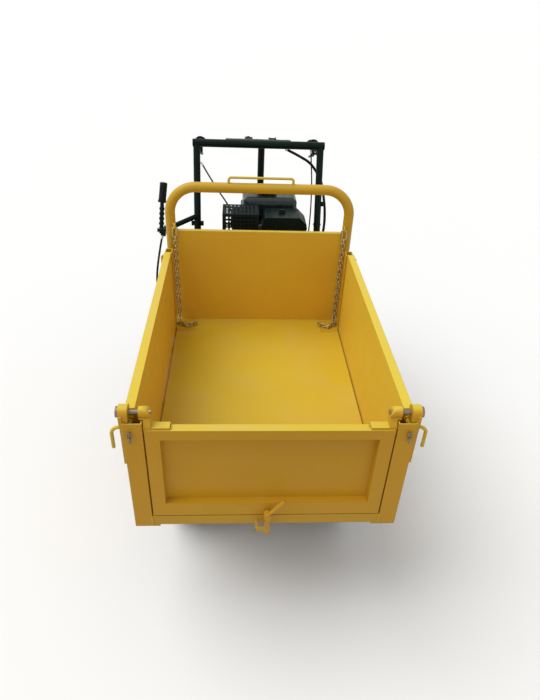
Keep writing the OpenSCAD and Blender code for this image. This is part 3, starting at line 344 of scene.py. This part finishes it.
def metal(name, look):
    # Plated or cast metal: tone patches, dull stains and a fine grain.
    s = Shade(name)
    soft = s.rounded(look["edge"])
    patches = s.ramp(s.noise(look["patch"], plated["toneDetail"]), *plated["toneBand"])
    colour = s.mix(patches, look["tone"], look["shade"])
    stains = s.ramp(s.noise(*plated["stainNoise"]), *plated["stainBand"], 0, look["stain"])
    colour = s.mix(stains, colour, look["stainTone"])
    rough = s.uneven(plated["roughNoise"], look["rough"], plated["smoother"], plated["rougher"])
    grain = s.noise(look["grain"], plated["grainDetail"])
    grain = s.bump(grain, look["relief"], plated["grainDepth"], soft)
    return s.finish(colour, rough, grain, Metallic=look["metal"], Specular_IOR_Level=look["gloss"])


zincLook = {
    "tone": (0.60, 0.61, 0.61), "shade": (0.46, 0.47, 0.47), "patch": 30,
    "stain": 0.35, "stainTone": (0.30, 0.27, 0.22), "rough": 0.36, "grain": 320, "relief": 0.12,
    "metal": 0.9, "edge": 0.0006, "gloss": 0.5,
}
chainLook = {**zincLook, "tone": (0.52, 0.44, 0.25), "shade": (0.36, 0.30, 0.17), "rough": 0.38}
# Gate pins: zinc painted darker and browner, as painted shade of the gap where they sit.
shadedPinLook = {**zincLook, "tone": (0.30, 0.25, 0.17), "shade": (0.19, 0.16, 0.12), "rough": 0.45}
alloyLook = {
    "tone": (0.30, 0.31, 0.31), "shade": (0.20, 0.21, 0.21), "patch": 24,
    "stain": 0.5, "stainTone": (0.09, 0.085, 0.075), "rough": 0.52, "grain": 520, "relief": 0.42,
    "metal": 0.75, "edge": 0.0010, "gloss": 0.5,
}
ironLook = {
    "tone": (0.007, 0.014, 0.012), "shade": (0.013, 0.017, 0.014), "patch": 16,
    "stain": 0.3, "stainTone": (0.040, 0.028, 0.018), "rough": 0.66, "grain": 300, "relief": 0.35,
    "metal": 0.1, "edge": 0.0008, "gloss": 0.12,
}

pressed = {
    "toneNoise": (12, 4), "toneBand": (0.35, 0.65),
    "scuffNoise": (30, 5, (1.0, 0.25, 2.0)), "scuffBand": (0.6, 0.72),  # drawn out along the machine
    "dustNoise": (9, 6), "dustBand": (0.45, 0.7), "settleBand": (0.2, 0.9),
    "roughNoise": (40, 3), "smoother": 0.07, "rougher": 0.09, "grainDetail": 2, "grainDepth": 0.0005,
}


def moulded(name, look):
    # Plastic or rubber: fine grain, scuffs and settled dust.
    s = Shade(name)
    soft = s.rounded(look["edge"])
    patches = s.ramp(s.noise(*pressed["toneNoise"]), *pressed["toneBand"])
    colour = s.mix(patches, look["tone"], look["shade"])
    scuffs = s.ramp(s.noise(*pressed["scuffNoise"]), *pressed["scuffBand"], 0, look["scuff"])
    colour = s.mix(scuffs, colour, look["scuffTone"])
    film = s.ramp(s.noise(*pressed["dustNoise"]), *pressed["dustBand"], 0, look["dust"])
    film = s.math("MULTIPLY", s.upward(*pressed["settleBand"]), film)
    colour = s.mix(film, colour, look["dustTone"])
    rough = s.uneven(pressed["roughNoise"], look["rough"], pressed["smoother"], pressed["rougher"])
    grain = s.noise(look["grain"], pressed["grainDetail"])
    grain = s.bump(grain, look["relief"], pressed["grainDepth"], soft)
    return s.finish(colour, rough, grain, Specular_IOR_Level=look["gloss"])


plasticLook = {
    "tone": (0.004, 0.010, 0.009), "shade": (0.007, 0.015, 0.013),
    "scuff": 0.2, "scuffTone": (0.03, 0.035, 0.033), "dust": 0.08, "dustTone": (0.06, 0.06, 0.055),
    "rough": 0.36, "grain": 900, "relief": 0.10, "gloss": 0.14, "edge": 0.0012,
}
tankLook = {
    **plasticLook, "tone": (0.005, 0.013, 0.013), "shade": (0.008, 0.017, 0.016),
    "rough": 0.30, "gloss": 0.36,
}
rubberLook = {
    "tone": (0.007, 0.009, 0.009), "shade": (0.012, 0.014, 0.014),
    "scuff": 0.2, "scuffTone": (0.03, 0.03, 0.028), "dust": 0.10, "dustTone": (0.06, 0.06, 0.055),
    "rough": 0.62, "grain": 700, "relief": 0.16, "gloss": 0.12, "edge": 0.0008,
}
tyreLook = {
    "tone": (0.018, 0.018, 0.018), "shade": (0.030, 0.029, 0.028),
    "scuff": 0.5, "scuffTone": (0.085, 0.080, 0.072), "dust": 0.4, "dustTone": (0.20, 0.175, 0.14),
    "rough": 0.78, "grain": 260, "relief": 0.25, "gloss": 0.25, "edge": 0.0020,
}
looks = {
    "yellow_paint": coated("yellowPaint", yellowLook), "black_paint": coated("blackPaint", blackLook),
    "zinc": metal("zincPlate", zincLook), "engine_alloy": metal("engineAlloy", alloyLook),
    "exhaust_iron": metal("exhaustIron", ironLook), "black_plastic": moulded("blackPlastic", plasticLook),
    "black_rubber": moulded("blackRubber", rubberLook), "tyre_rubber": moulded("tyreRubber", tyreLook),
}
# The gate's copy of the yellow paint is painted as if in shade, the walls' copy as if lit.
gateShadedPaint = coated("gateShadedYellow", gateShadedYellow)
litPaint = coated("litYellow", litYellow)
chainSteel = metal("chainSteel", chainLook)
# Gate, posts, latch and hoop take copies of the paint with painted shade, the walls copies with painted light, the
# floor pan one with painted shade low down, and the gate pins a zinc darkened as painted shade.
nodeLooks = {
    "front_gate": gateShadedPaint, "corner_posts": gateShadedPaint, "gate_latch": gateShadedPaint,
    "side_right": litPaint, "headboard": litPaint, "side_left": coated("leftLitYellow", leftLitYellow),
    "hoop": coated("shadedYellow", shadedYellow), "floor_pan": coated("panShadedYellow", panShadedYellow),
    "fuel_tank": moulded("tankPlastic", tankLook), "chain_left": chainSteel, "chain_right": chainSteel,
    "gate_pins": metal("shadedPinSteel", shadedPinLook), "frame_bolts": looks["black_paint"],
}
for part in frame["record"]["subparts"]:
    mesh = nodes[part["node"]].data
    mesh.materials.clear()
    mesh.materials.append(nodeLooks.get(part["node"], looks[part["material_slot"]]))
print("stage: materials on", len(nodes), "nodes")

# Surfaces
sharpEdge = 35  # degrees, past which an edge isn't smoothed
nearUpright = 0.9  # upward share of a direction, past which it counts as upright
fewestPoints = 3


def fullTurn(count):
    return np.linspace(0, 2 * np.pi, count, endpoint=False)


def sideways(axis):
    # Two directions square to an axis and to each other.
    hint = (0, 0, 1.0) if abs(axis[2]) < nearUpright else (1.0, 0, 0)
    across = unit(np.cross(axis, hint))
    return across, np.cross(axis, across)


def ringGrid(path, radius, sides, hint):
    # Round section carried along a path; hint is any direction the path never takes.
    path = np.asarray(path, float)
    ahead = unit(np.gradient(path, axis=0))
    across = unit(np.cross(ahead, hint))
    up = np.cross(ahead, across)
    turn = fullTurn(sides)[None, :, None]
    ring = np.cos(turn) * across[:, None] + np.sin(turn) * up[:, None]
    return path[:, None] + radius[:, None, None] * ring


def latheGrid(centre, axis, profile, sides):
    # Profile of (radius, height) pairs turned about an axis.
    axis = unit(np.asarray(axis, float))
    across, up = sideways(axis)
    radius, height = np.asarray(profile, float).T[:, :, None, None]
    turn = fullTurn(sides)[None, :, None]
    ring = np.cos(turn) * across + np.sin(turn) * up
    return place(np.asarray(centre, float) + height * axis + radius * ring)


def spline(points, steps):
    # The same curve through given points as the solids follow: a cubic between each pair of neighbours.
    p = np.asarray(points, float)
    a, b, c, e = p[np.r_[0, 0:len(p) - 2]], p[:-1], p[1:], p[np.r_[2:len(p), len(p) - 1]]
    a, b, c, e = (q[:, None] for q in (a, b, c, e))
    t = (np.arange(steps) / steps)[None, :, None]
    square = 2 * a - 5 * b + 4 * c - e
    cube = 3 * b - a - 3 * c + e
    curve = 0.5 * (2 * b + (c - a) * t + square * t ** 2 + cube * t ** 3)
    return np.vstack([curve.reshape(-1, 3), p[-1:]])


def evenly(points, step):
    # The same line in equal steps, with the length run so far at each point.
    points = np.asarray(points, float)
    run = np.r_[0, np.cumsum(np.linalg.norm(np.diff(points, axis=0), axis=1))]
    at = np.linspace(0, run[-1], max(fewestPoints, int(run[-1] / step) + 1))
    return np.stack([np.interp(at, run, points[:, k]) for k in range(3)], axis=1), at


def makePiece(name, grids, body, slot, closed=False, material=None):
    # Joins grids whose rows run round a section; closed grids also join last row to first.
    points, quads, caps, base = [], [], [], 0
    for grid in grids:
        rows, cols = grid.shape[:2]
        index = np.arange(rows * cols).reshape(rows, cols) + base
        start = index if closed else index[:-1]
        end = np.roll(index, -1, axis=0) if closed else index[1:]
        corners = [start, np.roll(start, -1, 1), np.roll(end, -1, 1), end]
        quads.append(np.stack(corners, axis=-1).reshape(-1, 4))
        if not closed:
            caps += [index[0, ::-1].tolist(), index[-1].tolist()]
        points.append(grid.reshape(-1, 3))
        base += rows * cols
    mesh = bpy.data.meshes.new(name)
    mesh.from_pydata(np.concatenate(points).tolist(), [], np.concatenate(quads).tolist() + caps)
    mesh.polygons.foreach_set("use_smooth", np.ones(len(mesh.polygons), bool))
    mesh.set_sharp_from_angle(angle=math.radians(sharpEdge))
    mesh.update()
    piece = bpy.data.objects.new(name, mesh)
    scene.collection.objects.link(piece)
    mesh.materials.append(material or looks[slot])
    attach(piece, body)
    return piece


# Cables
sheath = {"curveSteps": 10, "sides": 14, "step": 4, "ribStep": 1.6, "ribPitch": 6.4}


def layCord(name, cable):
    # Round section along the cable's route; a ribbed one swells and shrinks as a sine of the length run.
    ribs = cable.get("ribs", 0)
    route = place(spline(cable["route"], sheath["curveSteps"]))
    line, run = evenly(route, (sheath["ribStep"] if ribs else sheath["step"]) * mm)
    dip = 0.5 + 0.5 * np.sin(2 * np.pi * run / (sheath["ribPitch"] * mm))
    radius = (cable["diameter"] / 2 - ribs * dip) * mm
    cord = makePiece(name, [ringGrid(line, radius, sheath["sides"], cable["hint"])], "frame", "black_rubber")
    if "node" in cable:
        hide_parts(cable["node"])
    return line


throttleCable = {
    "node": "control_cables", "diameter": 6, "stiffness": "stiff", "hint": (0.2, 0.9, 0.35),
    "route": [(-232.5, 1333.7, 985), (-200, 1290, 945), (-160, 1245, 898), (-128, 1218, 860),
              (-92, 1214, 797), (-73, 1214, 769), (-72, 1214, 755.7)],
}
loomCable = {
    "node": "control_cables", "diameter": 12, "stiffness": "stiff", "hint": (0.2, 0.9, 0.35), "ribs": 0.9,
    "route": [(118, 1410, 1036.4), (121, 1410, 1024), (165, 1404, 1004), (214, 1394, 978), (246, 1384, 943),
              (268, 1368, 905), (278, 1342, 860), (285, 1308, 802), (282, 1275, 731), (262, 1256, 620),
              (222, 1256, 520), (197, 1259, 462), (183, 1260, 450), (171, 1260, 450)],
}
clutchCable = {
    "node": "control_cables", "diameter": 5.5, "stiffness": "stiff", "hint": (0.2, 0.9, 0.35),
    "route": [(212, 1357, 1040.2), (217, 1350, 990), (222, 1326, 915), (221, 1280, 800), (212, 1245, 660),
              (199, 1236, 575), (188, 1235, 514), (180, 1235, 500), (171, 1235, 500)],
}
steerCable = {
    "node": "control_cables", "diameter": 6, "stiffness": "stiff", "hint": (0.9, 0.2, 0.3),
    "route": [(250, 1507.2, 992), (250, 1450, 1008), (250, 1402, 1014), (250, 1376, 988), (250, 1354, 930),
              (250, 1291, 740), (248, 1232, 560), (215, 1206, 470), (184, 1201, 442), (171, 1200, 440)],
}
mirroredCable = {**steerCable, "route": [(-x, d, z) for x, d, z in steerCable["route"]]}
dumpCable = {
    "node": "dump_cable", "diameter": 8, "stiffness": "stiff", "hint": (0.3, 0.5, 0.8),
    "route": [(-378, 1104, 766.7), (-388, 1076, 715), (-396, 1040, 662), (-398, 1012, 620), (-393, 994, 582),
              (-382, 990, 545), (-370, 1006, 505), (-345, 1062, 455), (-290, 1100, 420), (-190, 1110, 396),
              (-70, 1112, 386), (-14.9, 1104, 382)],
}
cables = {
    "throttleCable": throttleCable, "loomCable": loomCable, "clutchCable": clutchCable,
    "steerCableLeft": steerCable, "steerCableRight": mirroredCable, "dumpCable": dumpCable,
}
cableLines = {name: layCord(name, cable) for name, cable in cables.items()}
print("stage: cables")

# Cable ends and ties
ferrule = {
    # Radii are counted from the cable's own.
    "profile": [(-0.4, 0), (1.1, 0.4), (1.1, 4), (0.6, 5), (1.1, 6), (1.1, 12.5), (0.1, 16)],
    "sides": 18, "aim": 6,  # points along the cable to the one that the sleeve points at
}


def makeFerrules():
    # Crimped sleeve turned about each cable's last stretch, at both ends.
    grids = []
    for name, line in cableLines.items():
        profile = np.asarray(ferrule["profile"]) + [cables[name]["diameter"] / 2, 0]
        for run in (line, line[::-1]):
            tip, inner = unplace(run[[0, ferrule["aim"]]])
            grids.append(latheGrid(tip, inner - tip, profile, ferrule["sides"]))
    makePiece("cableFerrules", grids, "frame", "zinc")


def flatArc(centre, radius, turn, lift):
    # Points of a level arc, lifted above its centre.
    x = centre[0] + radius * np.cos(turn)
    d = centre[1] + radius * np.sin(turn)
    return np.stack([x, d, np.full(len(turn), centre[2] + lift)], axis=1)


upright = {"x": 250, "foot": 1127, "railTop": 355, "slope": 230 / 701}
cableTie = {
    "heights": (905, 760, 620), "half": 2.6, "thick": 1.3, "tube": 14.8, "cable": 3.2, "steps": (25, 15),
    "skip": 35,  # points of the route that lie before it runs down the upright
}


def tieGrid(tube, cable):
    # Flat band pulled tight round two upright rods: an arc on each, joined along their outer tangents.
    big, small = cableTie["tube"], cableTie["cable"]
    half, thick = cableTie["half"], cableTie["thick"]
    gap = np.subtract(cable, tube)
    heading = math.atan2(gap[1], gap[0])
    lean = math.acos((big - small) / math.hypot(gap[0], gap[1]))
    near = heading + np.linspace(lean, 2 * np.pi - lean, cableTie["steps"][0])
    far = heading + np.linspace(-lean, lean, cableTie["steps"][1])
    edges = []
    for r, h in ((0, half), (thick, half), (thick, -half), (0, -half)):
        edges.append(np.vstack([flatArc(tube, big + r, near, h), flatArc(cable, small + r, far, h)]))
    return place(np.stack(edges, axis=1))


def makeTies():
    grids = []
    route = spline(steerCable["route"], sheath["curveSteps"])[cableTie["skip"]:]
    for z in cableTie["heights"]:
        x, d, _ = route[np.argmin(abs(route[:, 2] - z))]
        tubeDepth = upright["foot"] + (z - upright["railTop"]) * upright["slope"]
        for side in (1, -1):
            grids.append(tieGrid((side * upright["x"], tubeDepth, z), (side * x, d, z)))
    makePiece("cableTies", grids, "frame", "black_plastic", closed=True)


makeFerrules()
makeTies()
print("stage: cable ends and ties")

# Weld beads
bead = {
    "step": 1.4, "pitch": 4.2, "ripple": 0.16, "sides": 8, "thinEnd": 0.35, "ringSteps": 24,
    "steep": 0.8, "steepHint": (0.9, 0.4, 0.1), "levelHint": (0.31, 0.27, 0.91),
}


def beadGrid(points, radius):
    # Round section along a straight seam, rippled by a sine and thinned towards both ends.
    line, run = evenly(points, bead["step"])
    wave = 1 + bead["ripple"] * np.sin(2 * np.pi * run / bead["pitch"])
    inset = np.minimum(run, run[-1] - run) / (2 * radius)
    ends = np.minimum(1, bead["thinEnd"] + (1 - bead["thinEnd"]) * inset)
    steep = abs(unit(line[-1] - line[0])[2]) >= bead["steep"]
    hint = bead["steepHint"] if steep else bead["levelHint"]
    return ringGrid(place(line), radius * wave * ends * mm, bead["sides"], hint)


def ringBead(centre, axis, ring, radius):
    # The same rippled section carried round a circle about an axis.
    length = 2 * np.pi * ring
    axis = unit(np.asarray(axis, float))
    across, up = sideways(axis)
    turn = fullTurn(max(bead["ringSteps"], int(length / bead["step"])))[:, None]
    out = np.cos(turn) * across + np.sin(turn) * up
    wave = radius * (1 + bead["ripple"] * np.sin(turn * round(length / bead["pitch"])))
    tube = fullTurn(bead["sides"])
    rim = (ring + wave * np.cos(tube))[..., None] * out[:, None]
    return place(np.asarray(centre, float) + rim - (wave * np.sin(tube))[..., None] * axis)


# Seams are (ends, radius) and rings (centre, axis, ring, radius). Those in lists are the left side's, and
# the right is mirrored.
skipSeams = [
    ([(304.5, -0.2, 414), (304.5, -0.2, 447)], 2.2), ([(304, 46.2, 452), (349, 46.2, 452)], 2.0),
    ([(324, 929.8, 451), (349, 929.8, 451)], 2.0), ([(323.8, 931, 451), (323.8, 969, 451)], 2.0),
    ([(324, 970.2, 451), (349, 970.2, 451)], 2.0), ([(350.2, 3.5, 642), (350.2, 3.5, 770)], 1.9),
    ([(350.2, 43.2, 642), (350.2, 43.2, 735)], 1.9), ([(351, 4, 640.2), (351, 42, 640.2)], 1.9),
    ([(314.5, 1004, 456), (314.5, 1004, 826)], 2.2), ([(92, 1003.2, 452), (92, 1003.2, 786)], 2.0),
    ([(132, 1003.2, 452), (132, 1003.2, 786)], 2.0), ([(130, 62, 406.5), (130, 996, 406.5)], 1.2),
    ([(324.2, 934, 446), (324.2, 990, 446)], 1.6),
]
gateSeams = [([(236, 8, 750.4), (238, 23, 750.4)], 1.8), ([(284, 3.4, 751), (300, 3.4, 751)], 1.8)]
frameSeams = [
    ([(170.4, 1105, 354), (170.4, 1175, 354)], 2.2), ([(170.4, 1105, 297), (170.4, 1175, 297)], 2.2),
    ([(170.4, 1105, 298), (170.4, 1105, 352)], 2.2), ([(129.6, 361, 353), (129.6, 399, 353)], 2.2),
    ([(129.6, 741, 353), (129.6, 779, 353)], 2.2), ([(129.6, 1401, 353), (129.6, 1439, 353)], 2.2),
    ([(132, 278, 355.4), (132, 330, 355.4)], 2.0), ([(168, 278, 355.4), (168, 330, 355.4)], 2.0),
    ([(143.4, 776, 294.6), (143.4, 824, 294.6)], 2.0), ([(156.6, 776, 294.6), (156.6, 824, 294.6)], 2.0),
]
hoopRings = [((333.5, 1030, 450.6), (0, 0, 1), 18.9, 2.2), ((117, 1030, 1004.3), (0, 0, 1), 5.2, 1.5)]
uprightRings = [((250, 1129.5, 361.4), (0, 0.31, 0.95), 14.8, 2.2)]
centrePostRing = ((13, 1424, 356), (0, 0, 1), 14.6, 2.2)


def seamGrids(seams):
    return [beadGrid(line, radius) for ends, radius in seams for line in bothSides(ends)]


def ringGrids(rings):
    return [ringBead(spot, *shape) for centre, *shape in rings for spot in bothSides(centre)]


def makeWelds():
    makePiece("skipWelds", seamGrids(skipSeams), "skip", "yellow_paint")
    makePiece("hoopWelds", ringGrids(hoopRings), "skip", "yellow_paint", closed=True)
    makePiece("gateWelds", seamGrids(gateSeams), "gate", "yellow_paint", material=gateShadedPaint)
    makePiece("frameWelds", seamGrids(frameSeams), "frame", "black_paint")
    posts = ringGrids(uprightRings) + [ringBead(*centrePostRing)]
    makePiece("postWelds", posts, "frame", "black_paint", closed=True)


makeWelds()
print("stage: weld beads")

# Fasteners
hexHead = {
    "height": 5, "sides": 6, "lift": 0.1, "chamfer": (0.9, 0.8), "crown": (0.4, 0.02),
    "washer": [(1.25, 0), (1.25, 1.3), (0.8, 1.4)], "washerSides": 24,
}
crossHead = {"profile": [(1, 0), (1, 0.5), (0.8, 1.5), (0.35, 2.0), (0.3, 1.2)], "sides": 18}
footBolts = {"across": (229, 271), "along": (1113, 1153), "top": 361, "size": 10}
axleBolts = {"centre": axleCentre, "face": 62, "ring": 77, "count": 10, "size": 9}
gearboxBolts = {"centre": gearboxCentre, "face": 78, "ring": 48, "count": 6, "size": 9}
coverScrews = {"centre": crankCentre, "face": 156, "ring": 86, "count": 4, "radius": 4.5}
consoleScrews = {
    "places": [(-124, 1386), (118, 1386), (-124, 1440), (118, 1440)], "front": 1387, "top": 1068,
    "slope": 14 / 61, "axis": (0, 0.22, 0.97), "radius": 3.6,
}


def hexBolt(centre, axis, size):
    # Six-sided profile with a chamfered top, over a turned washer whose radii are shares of the head's.
    r = size / 2 / math.cos(math.pi / hexHead["sides"])
    h = hexHead["height"]
    inset, drop = hexHead["chamfer"]
    share, rise = hexHead["crown"]
    head = [(r, hexHead["lift"]), (r, h - drop), (r - inset, h), (r * share, h + rise)]
    washer = np.asarray(hexHead["washer"]) * [r, 1]
    return [latheGrid(centre, axis, head, hexHead["sides"]),
            latheGrid(centre, axis, washer, hexHead["washerSides"])]


def crossScrew(centre, axis, radius):
    # Domed profile with a sunk middle; its radii are shares of the screw's.
    return latheGrid(centre, axis, np.asarray(crossHead["profile"]) * [radius, 1], crossHead["sides"])


def standingArc(x, centre, radius, turn):
    # Points of an upright arc that runs along the machine.
    d = centre[0] + radius * np.cos(turn)
    z = centre[1] + radius * np.sin(turn)
    return np.stack([np.full(len(turn), x), d, z], axis=1)


def boltCircle(spec):
    # Places evenly round a flange that faces left, the first half a step up from level.
    turn = 2 * np.pi * (np.arange(spec["count"]) + 0.5) / spec["count"]
    return standingArc(spec["face"], spec["centre"], spec["ring"], turn)


def makeFasteners():
    grids = []
    feet = [(x, d, footBolts["top"]) for x in footBolts["across"] for d in footBolts["along"]]
    for spots in bothSides(feet):
        for spot in spots:
            grids += hexBolt(spot, (0, 0, 1), footBolts["size"])
    for way, spots in zip((1, -1), bothSides(boltCircle(axleBolts))):
        for spot in spots:
            grids += hexBolt(spot, (way, 0, 0), axleBolts["size"])
    for spot in boltCircle(gearboxBolts):
        grids += hexBolt(spot, (1, 0, 0), gearboxBolts["size"])
    makePiece("frameHardware", grids, "frame", "zinc")
    grids = [crossScrew(spot, (1, 0, 0), coverScrews["radius"]) for spot in boltCircle(coverScrews)]
    for x, d in consoleScrews["places"]:
        z = consoleScrews["top"] - (d - consoleScrews["front"]) * consoleScrews["slope"]
        grids.append(crossScrew((x, d, z), consoleScrews["axis"], consoleScrews["radius"]))
    makePiece("coverScrews", grids, "frame", "zinc")


makeFasteners()
print("stage: fasteners")

# Engine details
plugBoot = {
    "at": (64, 1116.4, 721), "sides": 24,
    "profile": [(11, 0), (11, 5), (6, 5.2), (6, 9), (8, 9.4), (9, 15), (8, 23), (4, 26)],
}
plugLead = {
    "diameter": 6.5, "stiffness": "medium", "hint": (0.3, 0.2, 0.9),
    "route": [(88, 1116.4, 721), (104, 1118, 720), (122, 1130, 712), (128, 1148, 698), (124, 1162, 684),
              (116, 1172, 672)],
}
fuelHose = {
    "diameter": 8, "stiffness": "medium", "hint": (0.9, 0.1, 0.4),
    "route": [(60, 1240, 779), (60, 1236, 768), (60, 1222, 758), (60, 1200, 752), (59, 1182, 752),
              (58, 1166, 752)],
}
oilCap = {
    "places": [((60, 1178, 612), -1), ((66, 1354, 588), 1)], "lean": 0.15, "sides": 30,
    "profile": [(14, 0), (14, 6), (17, 7), (17, 15), (15, 17), (6, 17.5)],
}
drainPlug = {
    "places": [((-40, 1182, 570), -1), ((-44, 1355, 572), 1), ((13, 1335, 300), 1)], "sides": 6,
    "profile": [(10, 0), (10, 2), (8, 2.2), (8, 9), (5, 9.4)],
}
crankWeb = {
    "across": (-62, -8, 28, 60), "radius": 95, "from": 72, "to": -32.6, "foot": 556, "half": 2.4, "tall": 6.0,
    "arcSteps": 40, "footSteps": 8, "footGap": 3, "sides": 12, "thinRows": 4, "thinEnd": 0.25,
}


def webGrid(x):
    # Oval section carried over the crankcase's round back and down to its foot.
    turn = np.radians(np.linspace(crankWeb["from"], crankWeb["to"], crankWeb["arcSteps"]))
    arc = standingArc(x, crankCentre, crankWeb["radius"], turn)
    down = np.linspace(arc[-1, 2] - crankWeb["footGap"], crankWeb["foot"], crankWeb["footSteps"])
    foot = np.stack([np.full(len(down), x), np.full(len(down), arc[-1, 1]), down], axis=1)
    path = np.vstack([arc, foot])[:, None]
    out = np.vstack([standingArc(0, (0, 0), 1, turn), np.tile([0, 1.0, 0], (len(down), 1))])[:, None]
    tall = np.full(len(path), crankWeb["tall"])
    tall[:crankWeb["thinRows"]] *= np.linspace(crankWeb["thinEnd"], 1, crankWeb["thinRows"])
    ring = fullTurn(crankWeb["sides"])[None, :, None]
    wide = crankWeb["half"] * np.cos(ring) * np.array([-1.0, 0, 0])
    return place(path + wide + tall[:, None, None] * np.sin(ring) * out)


def makeEngineDetails():
    boot = latheGrid(plugBoot["at"], (1, 0, 0), plugBoot["profile"], plugBoot["sides"])
    makePiece("plugBoot", [boot], "frame", "black_rubber")
    layCord("plugLead", plugLead)
    layCord("fuelHose", fuelHose)
    caps = [latheGrid(spot, (0, way, oilCap["lean"]), oilCap["profile"], oilCap["sides"])
            for spot, way in oilCap["places"]]
    makePiece("oilCap", caps, "frame", "black_plastic")
    plugs = [latheGrid(spot, (0, way, 0), drainPlug["profile"], drainPlug["sides"])
             for spot, way in drainPlug["places"]]
    makePiece("drainPlug", plugs, "frame", "zinc")
    makePiece("crankWebs", [webGrid(x) for x in crankWeb["across"]], "frame", "engine_alloy")


makeEngineDetails()
print("stage: engine details")

# Wheels and lever grip
valve = {
    "x": 266, "up": 88, "lean": -0.35, "sides": 16,
    "profile": [(4.5, 0), (4.5, 6), (3, 7), (3, 20), (3.6, 20.4), (3.6, 28), (1.5, 29)],
}
tyreRing = {"places": [(150, 313.6), (136, 313.8), (122, 310)], "radius": 1.6}
dumpGrip = {
    "low": (-373, 1130, 893), "high": (-364, 1144, 961), "start": 0.07, "radius": 14.0, "rib": 0.9, "ribs": 9,
    "rows": 120, "sides": 28, "hint": (1, 0, 0.2),
    "roundRows": 6, "roundTo": 0.55, "tip": 1.5, "tipRadius": 4.0,
}


def makeWheelDetails():
    depth, height = axleCentre
    for name, side in (("Left", 1), ("Right", -1)):
        wheel = "wheel_" + name.lower()
        foot = (side * valve["x"], depth, height + valve["up"])
        stem = latheGrid(foot, (side, 0, valve["lean"]), valve["profile"], valve["sides"])
        makePiece("valve" + name, [stem], wheel, "black_rubber")
        walls = [ringBead((side * x, depth, height), (1, 0, 0), ring, tyreRing["radius"])
                 for ring, x in tyreRing["places"]]
        makePiece("tyreRings" + name, walls, wheel, "tyre_rubber", closed=True)


def makeDumpGrip():
    # Round section along the lever's handle, its radius ribbed by a sine and drawn in to a small tip.
    low, high = np.array(dumpGrip["low"], float), np.array(dumpGrip["high"], float)
    t = np.linspace(dumpGrip["start"], 1.0, dumpGrip["rows"])
    radius = dumpGrip["radius"] + dumpGrip["rib"] * np.sin(2 * np.pi * dumpGrip["ribs"] * t)
    radius[-dumpGrip["roundRows"]:] *= np.linspace(1, dumpGrip["roundTo"], dumpGrip["roundRows"])
    line = low + t[:, None] * (high - low)
    line = np.vstack([line, high + unit(high - low) * dumpGrip["tip"]])
    radius = np.r_[radius, dumpGrip["tipRadius"]] * mm
    grip = ringGrid(place(line), radius, dumpGrip["sides"], dumpGrip["hint"])
    makePiece("dumpGrip", [grip], "dump", "black_rubber")


makeWheelDetails()
makeDumpGrip()
print("stage: wheel details and lever grip")

bpy.context.view_layer.update()
